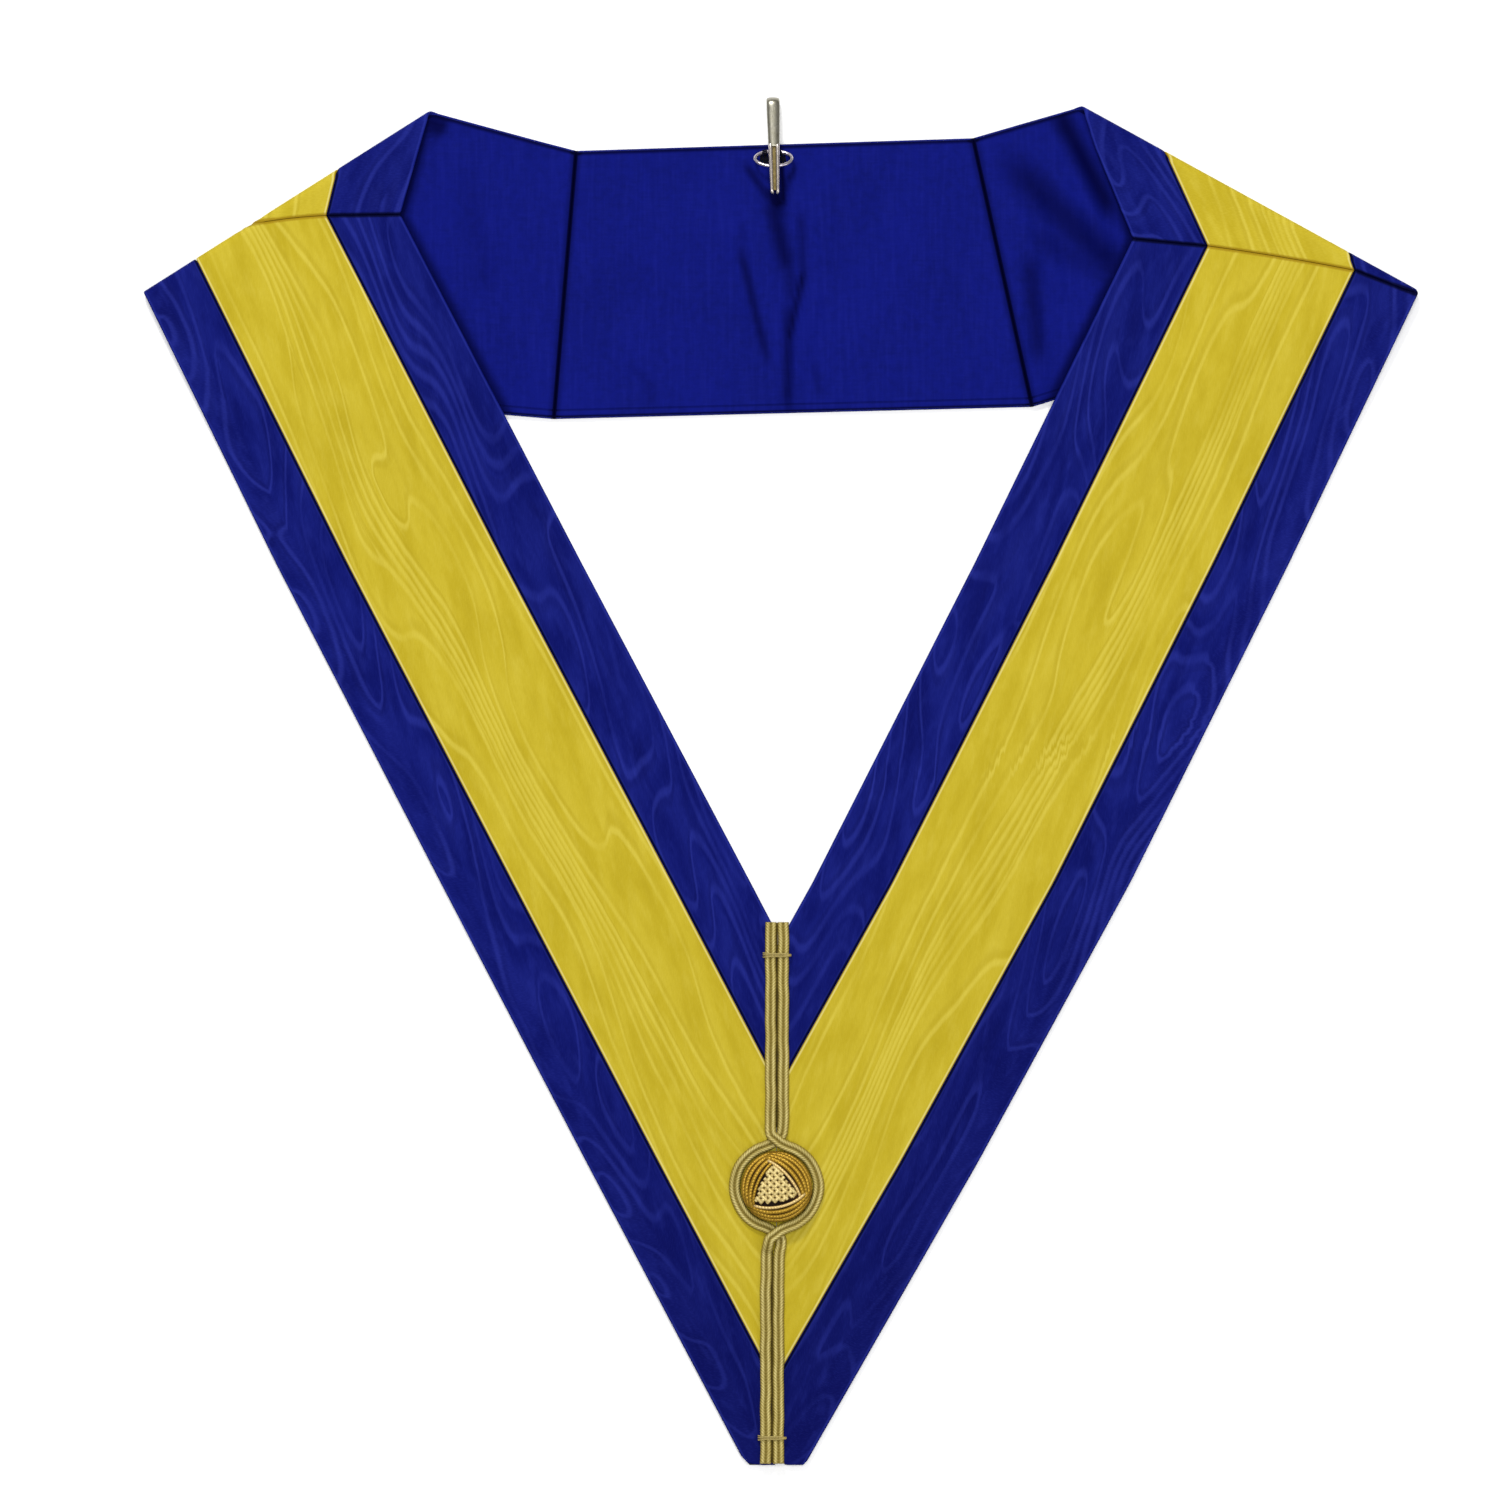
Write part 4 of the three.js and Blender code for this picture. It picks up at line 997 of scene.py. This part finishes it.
def braid_line(hand, over):
    """A braid's way: straight down, across the middle, round the button, and across again. Its
    heights are the mean of five points, and it wavers a little from side to side, as sewn trim does."""
    lift = BRAID_THICK + SEWING_GAP if over else 0.0
    start = BUTTON_UP + CROSSING[0][1] * RING_RADIUS
    end = BUTTON_UP - CROSSING[0][1] * RING_RADIUS
    rows = [(-PITCH / 2, y, 0.0) for y in np.linspace(BRAID_TOP, start, 6, endpoint=False)]
    rows += [(a * PITCH, BUTTON_UP + w * RING_RADIUS, s * lift) for a, w, s in CROSSING]
    angle = np.radians(np.linspace(15, 165, 15))
    share = smooth((np.abs(np.cos(angle)) - 0.6) / 0.28)
    rows += list(zip(np.sin(angle) * RING_RADIUS, BUTTON_UP + np.cos(angle) * RING_RADIUS, share * lift))
    rows += [(a * PITCH, BUTTON_UP - w * RING_RADIUS, s * lift) for a, w, s in CROSSING[::-1]]
    rows += [(-PITCH / 2, y, 0.0) for y in np.linspace(end, BRAID_FOOT, 7)[1:]]
    rows = np.array(rows)
    away = (rows[:, 1] - BUTTON_UP) / RING_RADIUS
    stray = np.where(away > 0, ASIDE_ABOVE, ASIDE_BELOW) * smooth(np.abs(away) - 0.9)
    rows[:, 0] = MIDDLE + stray + hand * rows[:, 0]
    rows[:, 2] += TRIM_HEIGHT
    line, at = resampled(rows, 0.7)
    line[:, 2] = np.convolve(np.pad(line[:, 2], 2, mode="edge"), np.full(5, 0.2), "valid")
    line[:, 0] += 0.07 * np.sin(at / 3.3 + hand) + 0.05 * np.sin(at / 1.7 + 2 * hand)
    return line, at


def braid_section():
    """Two half-round ridges that meet in a groove, on a flat back."""
    x = np.linspace(1, -1, 25)
    ridge = np.sqrt(np.maximum(0, 1 - ((np.abs(x) - 0.5) / 0.5) ** 2))
    top = np.stack([x * BRAID_WIDTH / 2, mix(BRAID_GROOVE, 1, ridge) * BRAID_THICK], 1)
    back = np.stack([np.linspace(-0.94, 0.94, 6) * BRAID_WIDTH / 2, np.full(6, 0.04)], 1)
    return np.concatenate([top, back])


for name, hand, over in (("braid_left", 1, True), ("braid_right", -1, False)):
    line, at = braid_line(hand, over)
    piece_of(name + "_woven", [swept(line, at, braid_section())], name, "gold_braid", BRAID)

# The threads of the tacks and between the braids: their radius, and how the second wavers
TACK_THREAD, JOINING_THREAD, JOINING_WAVER = 0.23, 0.29, 0.12


def tack_strands(node):
    """Three turns of thread over both braids, each a low arch a little askew."""
    low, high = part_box(node)
    middle_x = (low[0] + high[0]) / 2 / MM - SHIFT[0]
    middle_y = (low[1] + high[1]) / 2 / MM - SHIFT[1]
    reach_x = (high[0] - low[0]) / 2 / MM - 0.3
    top = high[2] / MM - 0.25
    strands = []
    for index, skew in enumerate((0.25, -0.1, -0.3)):
        y = middle_y + (index - 1) * 0.5
        rows = [(-reach_x, y - skew, TRIM_HEIGHT + 0.1), (-reach_x, y - skew, top - 0.9),
                (-reach_x + 0.8, y - skew * 0.7, top - 0.1), (-2.3, y, top), (0, y, top - 0.25),
                (2.3, y, top), (reach_x - 0.8, y + skew * 0.7, top - 0.1),
                (reach_x, y + skew, top - 0.9), (reach_x, y + skew, TRIM_HEIGHT + 0.1)]
        rows = np.array(rows)
        rows[:, 0] += middle_x
        line, at = resampled(rows, 0.35)
        strands.append(tube(line, at, TACK_THREAD))
    return strands


for node in ("braid_tack_top", "braid_tack_bottom"):
    piece_of(node + "_thread", tack_strands(node), node, "gold_braid", TACKING)


def joining_thread(start, end, aside):
    """The dark thread that draws the two braids together: a low cord in the gap between them."""
    up = np.linspace(start, end, 60)
    height = TRIM_HEIGHT + 0.5 + JOINING_WAVER * np.sin(up * 1.9)
    return tube(np.stack([MIDDLE + aside + 0 * up, up, height], 1), up, JOINING_THREAD)


TO_CROSSING = 1.42 * RING_RADIUS
joinings = [
    joining_thread(BRAID_TOP - 0.3, BUTTON_UP + TO_CROSSING, ASIDE_ABOVE),
    joining_thread(BUTTON_UP - TO_CROSSING, BRAID_FOOT + 0.3, ASIDE_BELOW),
]
piece_of("braid_joining_thread", joinings, None, "gold_braid", JOINING)

# The button

PROFILE_OUT = np.array([0.0, 0.24, 0.46, 0.64, 0.8, 0.92, 0.985, 1.0])
PROFILE_RISE = np.array([1.0, 0.99, 0.95, 0.885, 0.76, 0.58, 0.36, 0.16])


def dome_height(x, y):
    """The button's height over its base, from its profile by distance from the middle."""
    out = np.hypot(x, y) / BUTTON_RADIUS
    return np.interp(out, PROFILE_OUT, PROFILE_RISE) * BUTTON_HEIGHT


def on_button(x, y, z):
    """Points given from the middle of the button's base, in the drawing."""
    return np.stack([x + MIDDLE, y + BUTTON_UP, z + TRIM_HEIGHT], -1)


# How far in the core lies under the windings, out and up, and how many points go round it
CORE_OUT, CORE_UP, CORE_COUNT = 0.965, 0.93, 72


def button_core():
    """The dome under the windings, as rings of points from its foot to its top."""
    foot = np.array([0.0, 0.0, 0.0, 0.06, 0.2])
    out = np.array([
        0.0001, 0.8, 0.95, 0.985, 0.985, 0.96, 0.92, 0.86, 0.78, 0.68, 0.56, 0.42, 0.28, 0.14])
    spot = out[:, None, None] * BUTTON_RADIUS * CORE_OUT * circle(CORE_COUNT)
    x, y = spot[..., 0], spot[..., 1]
    z = dome_height(x, y) * CORE_UP
    z[:len(foot)] = foot[:, None] * BUTTON_HEIGHT
    ends = on_button(np.zeros(2), np.zeros(2), np.array([0.0, CORE_UP * BUTTON_HEIGHT]))
    return capped(on_button(x, y, z), spot * 0.2, ends)


piece_of("button_core", [button_core()], "button", "gold_thread", UMBER)

# The windings beside the triangle: each side's direction, how far out its raised edge strand and its
# amber strands run as shares of the radius, whether the edge strand is pale, and how far out the
# woven middle reaches
WINDINGS = (
    dict(turn=283.0, edge=0.585, pale=True, amber=(0.72, 0.86, 0.965), woven=0.41),
    dict(turn=152.0, edge=0.56, pale=False, amber=(0.70, 0.85, 0.965), woven=0.44),
    dict(turn=40.0, edge=0.475, pale=True, amber=(0.62, 0.765, 0.895, 0.975), woven=0.37),
)

# A winding lies in from the dome by shares of how far out and how high it is, is sunk by SUNK, and
# climbs by TILT from its middle to one end, so that it lies over one neighbour and under the other
WOUND_OUT, WOUND_UP, SUNK, TILT = 0.975, 0.95, 0.3, 0.25


def winding(turn, middle_share, reach_along, radius, lift):
    """One winding: a stretch of an ellipse about the dome, as far out in its middle as middle_share
    of the radius, running in under its neighbours at both ends, where its lift is lost."""
    t = np.linspace(-reach_along, reach_along, 48)
    out = middle_share * np.sqrt(1 - t * t)
    normal = np.array([np.cos(turn), np.sin(turn)])
    along = np.array([-np.sin(turn), np.cos(turn)])
    spot = BUTTON_RADIUS * (t[:, None] * along + out[:, None] * normal) * WOUND_OUT
    z = dome_height(spot[:, 0], spot[:, 1]) * WOUND_UP - SUNK + lift * (1 - 1.2 * t**2)
    z = z + TILT * t / reach_along
    line = on_button(spot[:, 0], spot[:, 1], z)
    return tube(line, t * BUTTON_RADIUS, radius, 12)


# Each strand's reach along its ellipse, its radius and its lift
AMBER_STRAND = (0.86, 0.92, 0.0)
EDGE_STRAND = (0.76, 0.6, 0.55)

amber_parts, pale_parts = [], []
for side in WINDINGS:
    turn = np.radians(side["turn"])
    amber_parts += [winding(turn, share, *AMBER_STRAND) for share in side["amber"]]
    edge_parts = pale_parts if side["pale"] else amber_parts
    edge_parts.append(winding(turn, side["edge"], *EDGE_STRAND))
piece_of("button_windings", amber_parts, "button", "gold_thread", AMBER)
piece_of("button_triangle_edge", pale_parts, "button", "gold_thread", PALE)


def inside_triangle(spot):
    """True where a point of the button lies within the woven middle's three bowed sides."""
    inside = np.full(len(spot), True)
    for side in WINDINGS:
        turn = np.radians(side["turn"])
        along = spot @ np.array([-np.sin(turn), np.cos(turn)]) / BUTTON_RADIUS
        limit = side["woven"] * np.sqrt(np.maximum(0, 1 - along**2))
        inside &= spot @ np.array([np.cos(turn), np.sin(turn)]) < limit * BUTTON_RADIUS
    return inside


# The woven bands: how far apart, their radius, how far they rise and dip, how many points go round
# one, and the fewest points along one that is kept
BAND_STEP, BAND_RADIUS, BAND_WAVE, BAND_COUNT, BAND_FEWEST = 1.8, 0.74, 0.24, 12, 12
BAND_TURNS = (48, 138)


def woven_middle():
    """Two sets of pale bands woven over and under each other inside the triangle: each follows the
    dome and rises and dips as a cosine, and the second set dips where the first rises."""
    parts, lifts = [], []
    for phase, degrees in enumerate(BAND_TURNS):
        turned = np.radians(degrees)
        along = np.array([np.cos(turned), np.sin(turned)])
        aside = np.array([-along[1], along[0]])
        for index in range(-5, 6):
            t = np.linspace(-9, 9, 181)
            spot = t[:, None] * along + (index + 0.3) * BAND_STEP * aside
            inside = inside_triangle(spot)
            if inside.sum() < BAND_FEWEST:
                continue
            kept, at = spot[inside][::2], t[inside][::2]
            wave = np.cos(np.pi * (at / BAND_STEP - 0.3 + index + phase))
            z = dome_height(kept[:, 0], kept[:, 1]) * WOUND_UP + wave * BAND_WAVE
            parts.append(tube(on_button(kept[:, 0], kept[:, 1], z), at, BAND_RADIUS, BAND_COUNT))
            # A band that dips under the others gets painted shade through its lift
            raised = 0.5 + 0.5 * smooth(wave * 0.5 + 0.75)
            lifts.append(np.concatenate([np.repeat(raised, BAND_COUNT), raised[:1], raised[-1:]]))
    return parts, lifts


woven_parts, woven_lifts = woven_middle()
piece_of("button_woven_middle", woven_parts, "button", "gold_thread", WOVEN, woven_lifts)

# The ring and the hook

ring_low, ring_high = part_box("neck_ring")
# The ring's wire and length across, the drawn wire's radius, and how far it lies to the left
RING_WIRE, RING_LENGTH, RING_ROUND, RING_ASIDE = 1.2, 14.7, 0.66, -1.1
RING_HALF = (RING_LENGTH - RING_WIRE) / 2
RING_MIDDLE = MIDDLE + RING_ASIDE


def ring_line():
    """An oval whose low side lies at the neck edge and whose far side is raised."""
    turn = np.linspace(0, TURN, 73)[:-1]
    share = (1 - np.cos(turn)) / 2
    near_y = ring_high[1] / MM - SHIFT[1] - RING_WIRE / 2
    far_y = ring_low[1] / MM - SHIFT[1] + RING_WIRE / 2
    low_z = ring_low[2] / MM + RING_WIRE / 2
    high_z = ring_high[2] / MM - RING_WIRE / 2
    x = RING_MIDDLE + np.sin(turn) * RING_HALF
    return np.stack([x, mix(near_y, far_y, share), mix(low_z, high_z, share)], 1)


def ring_shell():
    """A round wire about the oval, closed on itself."""
    line = ring_line()
    run = unit(np.roll(line, -1, axis=0) - np.roll(line, 1, axis=0))
    plane = unit(np.cross(line[18] - line[0], line[36] - line[0]))
    points = carried(line, np.cross(run, plane), plane[None], RING_ROUND * circle(14))
    rows, count = points.shape[:2]
    faces = grid_quads(rows + 1, count, ring=True) % (rows * count)
    return points.reshape(-1, 3), faces.tolist(), np.zeros((rows * count, 2))


piece_of("neck_ring_wire", [ring_shell()], "neck_ring", "ring_metal", NICKEL)

hook_low, hook_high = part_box("hook")
HOOK_LENGTH, HOOK_WIDTH, HOOK_THICK, HOOK_SLOPE = 36.0, 4.8, 1.8, 0.2
# The thickness of the hook's limb, the extra room above it under the ring's raised side, and the
# share of the hook's length that lies beyond the neck edge
LIMB, CLEAR, BEYOND = 1.0, 0.5, 0.489
# How far in from the neck edge the ring's low side lies, besides its wire, and the oval's depth as a
# share of its length
RING_IN, RING_OVAL = 1.4, 0.375
# How far the hook's bend and its tips lie to the left of the middle line
BEND_ASIDE, TIPS_ASIDE = -1.3, -0.55


def neck_height(x):
    """The height of the back's neck edge, on the line between the upper ends of its two darts."""
    left, right = dart_lying(SIDES["left"], 1.0, 0.0), dart_lying(SIDES["right"], 1.0, 0.0)
    return mix(left[1], right[1], (x - left[0]) / (right[0] - left[0]))


# The hook rises by its slope from its bend to its tips. Its limb passes over the ring's low side and
# under its raised side, and its bar over the raised side, with a sewing gap or more at each.
HOOK_END = neck_height(MIDDLE) + BEYOND * HOOK_LENGTH
RING_LOW = neck_height(MIDDLE) - RING_IN - RING_WIRE
RING_LOW_HEIGHT = FOLD_HEIGHT - LINING_NEAR + SEWING_GAP + RING_WIRE / 2
RING_REACH = RING_OVAL * RING_LENGTH
HOOK_UNDER = RING_LOW_HEIGHT + RING_WIRE / 2 + SEWING_GAP - HOOK_SLOPE * (HOOK_END - RING_LOW)
FAR_AWAY = HOOK_END - RING_LOW + RING_REACH
RING_FAR_HEIGHT = HOOK_UNDER + HOOK_SLOPE * FAR_AWAY + LIMB + CLEAR + SEWING_GAP + RING_WIRE / 2
BAR_MIDDLE = RING_FAR_HEIGHT + RING_WIRE / 2 + SEWING_GAP - HOOK_SLOPE * FAR_AWAY + HOOK_THICK / 2
LIMB_MIDDLE = HOOK_UNDER + LIMB / 2
BEND_MIDDLE = (BAR_MIDDLE + LIMB_MIDDLE) / 2


def hook_shell(table, section, aside=0.0):
    """Carries a section along a smooth line through rows of (away share, height, width share,
    thickness share), scaled by the last two; aside moves the line over by its share of the width.
    The hook leans a little from its bend to its tips."""
    table = np.array(table, float)
    away = table[:, 0] * HOOK_LENGTH
    x = MIDDLE + mix(BEND_ASIDE, TIPS_ASIDE, table[:, 0])
    places = np.stack([x, HOOK_END - away, table[:, 1] + HOOK_SLOPE * away], 1)
    rows, _at = resampled(np.concatenate([places, table[:, 2:]], 1), 0.4)
    line, scale = rows[:, :3].copy(), rows[:, 3:]
    line[:, 0] += aside * scale[:, 0]
    across = np.tile([1.0, 0.0, 0.0], (len(line), 1))
    rise = np.cross(across, unit(np.gradient(line, axis=0)))
    points = carried(line, across, rise, section * scale[:, None])
    return capped(points, np.zeros((*points.shape[:2], 2)), points[[0, -1]].mean(1))


def rounded_bar(width, thick, power, count=28):
    """A section between an ellipse, at power 2, and a rectangle: both parts of a circle's points are
    raised to two over the power."""
    round_part = np.sign(circle(count)) * np.abs(circle(count)) ** (2 / power)
    return round_part * np.array([width, thick]) / 2


# The hook's three forms, in the columns that hook_shell reads
bar_table = [
    (0.52, BAR_MIDDLE, 0.76, 0.9), (0.5, BAR_MIDDLE, 0.86, 1), (0.4, BAR_MIDDLE, 0.9, 1),
    (0.2, BAR_MIDDLE, 0.98, 1), (0.08, BAR_MIDDLE, 1, 1),
    (0.045, mix(BAR_MIDDLE, BEND_MIDDLE, 0.3), 1, 0.95), (0.031, BEND_MIDDLE, 0.98, 0.85),
    (0.047, mix(LIMB_MIDDLE, BEND_MIDDLE, 0.3), 0.95, 0.7), (0.08, LIMB_MIDDLE, 0.9, 0.56),
    (0.3, LIMB_MIDDLE, 0.8, 0.56), (0.72, LIMB_MIDDLE, 0.7, 0.56), (0.74, LIMB_MIDDLE, 0.6, 0.4),
]
rail_table = [
    (0.47, BAR_MIDDLE, 0.92, 0.7), (0.52, BAR_MIDDLE, 0.96, 0.95), (0.6, BAR_MIDDLE, 0.95, 1),
    (0.8, BAR_MIDDLE, 0.9, 1), (0.9, BAR_MIDDLE, 0.86, 1), (0.96, BAR_MIDDLE, 0.82, 0.95),
    (0.985, BAR_MIDDLE, 0.78, 0.7), (0.999, BAR_MIDDLE, 0.66, 0.3),
]
web_table = [
    (0.47, BAR_MIDDLE - 0.25, 1, 1), (0.6, BAR_MIDDLE - 0.35, 1, 1), (0.93, BAR_MIDDLE - 0.35, 0.9, 1),
    (0.965, BAR_MIDDLE - 0.4, 0.8, 0.8),
]
bar = hook_shell(bar_table, rounded_bar(HOOK_WIDTH, HOOK_THICK, 2.3))
RAIL_WIDTH, RAIL_ASIDE = 1.62, 1.33
rail_section = rounded_bar(RAIL_WIDTH, HOOK_THICK, 2.0, 24)
rails = [hook_shell(rail_table, rail_section, aside) for aside in (-RAIL_ASIDE, RAIL_ASIDE)]
# The web is the groove's floor between the rails, darker as painted shade
WEB_WIDTH, WEB_THICK = 1.9, 0.7
web = hook_shell(web_table, rounded_bar(WEB_WIDTH, WEB_THICK, 4))
piece_of("hook_bar", [bar], "hook", "hook_metal", OLD_BRASS)
piece_of("hook_rails", rails, "hook", "hook_metal", RAIL_METAL)
piece_of("hook_web", [web], "hook", "hook_metal", SHADED_GROOVE_BRASS)

# The stitches across the ring: their radius, height, arch and step. Then the loops of thread over
# its low side: where they are, their radius and how far out they pass.
STITCH, STITCH_HEIGHT, STITCH_ARCH, STITCH_STEP = 0.25, 2.42, 0.3, 0.43
LOOPS_AT = (-3.9, -3.45, -3.0, -2.55, 2.4, 2.85)
LOOP_THREAD, LOOP_OUT = 0.2, 0.9


def ring_stitches():
    """Dark threads laid across the inside of the ring, each a low arch a little askew, and a few
    loops of thread over its low side. Their near-black colour also paints the shade inside the ring."""
    parts = []
    middle_y = RING_LOW - RING_REACH / 2
    t = np.linspace(-1, 1, 9)
    for index, x in enumerate(np.arange(-4.7, 4.75, STITCH_STEP)):
        half = RING_REACH / 2 * np.sqrt(1 - (x / (RING_HALF + 0.15)) ** 2) - 0.2
        skew = 0.35 * np.sin(index * 2.3)
        z = STITCH_HEIGHT + STITCH_ARCH * (1 - t**2)
        line = np.stack([RING_MIDDLE + x + skew * t, middle_y + half * t, z], 1)
        parts.append(tube(line, t * half, STITCH))
    angle = np.radians(np.linspace(-30, 210, 13))
    for x in LOOPS_AT:
        share = (1 - np.sqrt(1 - (x / RING_HALF) ** 2)) / 2
        y = RING_LOW - share * RING_REACH + LOOP_OUT * np.cos(angle)
        z = mix(RING_LOW_HEIGHT, RING_FAR_HEIGHT, share) + LOOP_OUT * np.sin(angle)
        parts.append(tube(np.stack([0 * y + RING_MIDDLE + x, y, z], 1), angle, LOOP_THREAD))
    return parts


piece_of("ring_stitches", ring_stitches(), None, "lining", STITCHING_AND_SHADE)

# Floor, light and camera

FLOOR_REACH, FLOOR_HEIGHT = 3.0, -0.0003

floor_mesh = bpy.data.meshes.new("floor")
floor_mesh.from_pydata(
    [(x * FLOOR_REACH, y * FLOOR_REACH, FLOOR_HEIGHT) for x, y in ((-1, -1), (1, -1), (1, 1), (-1, 1))],
    [], [(0, 1, 2, 3)])
floor = bpy.data.objects.new("floor", floor_mesh)
bpy.context.scene.collection.objects.link(floor)
floor_finish = Finish("pale floor", roughness=0.9, specular=0.1)
floor_finish.inputs["Base Color"].default_value = (0.93, 0.93, 0.93, 1)
floor_finish.inputs["Emission Color"].default_value = (1, 1, 1, 1)
floor_finish.inputs["Emission Strength"].default_value = 0.18
floor_mesh.materials.append(floor_finish.material)


def soft_light(name, place, size, power):
    """A round lamp that faces the middle of the collar."""
    data = bpy.data.lights.new(name, "AREA")
    data.shape = "DISK"
    data.size = size
    data.energy = power
    light = bpy.data.objects.new(name, data)
    light.location = place
    light.rotation_mode = "QUATERNION"
    light.rotation_quaternion = (-light.location).to_track_quat("-Z", "Y")
    bpy.context.scene.collection.objects.link(light)


soft_light("overhead", (0, 0.1, 3.4), 1.9, 60)
soft_light("key", (-0.5, 2.0, 1.9), 0.6, 36)
soft_light("fill", (1.5, -0.9, 2.2), 1.2, 8)

world = bpy.data.worlds.new("studio")
world.use_nodes = True
background = world.node_tree.nodes["Background"].inputs
background["Color"].default_value = (1, 1, 1, 1)
background["Strength"].default_value = 0.34
bpy.context.scene.world = world
bpy.context.scene.view_settings.view_transform = "Standard"

# The photograph is FRAME_PIXELS wide, and the middle of the collar lies MIDDLE_PIXEL from its left
# and from its top
PIXEL, FRAME_PIXELS, MIDDLE_PIXEL = 0.367 * MM, 1500, 781
CAMERA_HEIGHT, SENSOR = 6.0, 36.0
camera_aside = (FRAME_PIXELS / 2 - MIDDLE_PIXEL) * PIXEL

camera_data = bpy.data.cameras.new("camera")
camera_data.sensor_width = SENSOR
camera_data.lens = SENSOR * CAMERA_HEIGHT / (FRAME_PIXELS * PIXEL)
camera_data.clip_end = 20
camera = bpy.data.objects.new("camera", camera_data)
camera.location = (camera_aside, -camera_aside, CAMERA_HEIGHT)
bpy.context.scene.collection.objects.link(camera)
bpy.context.scene.camera = camera
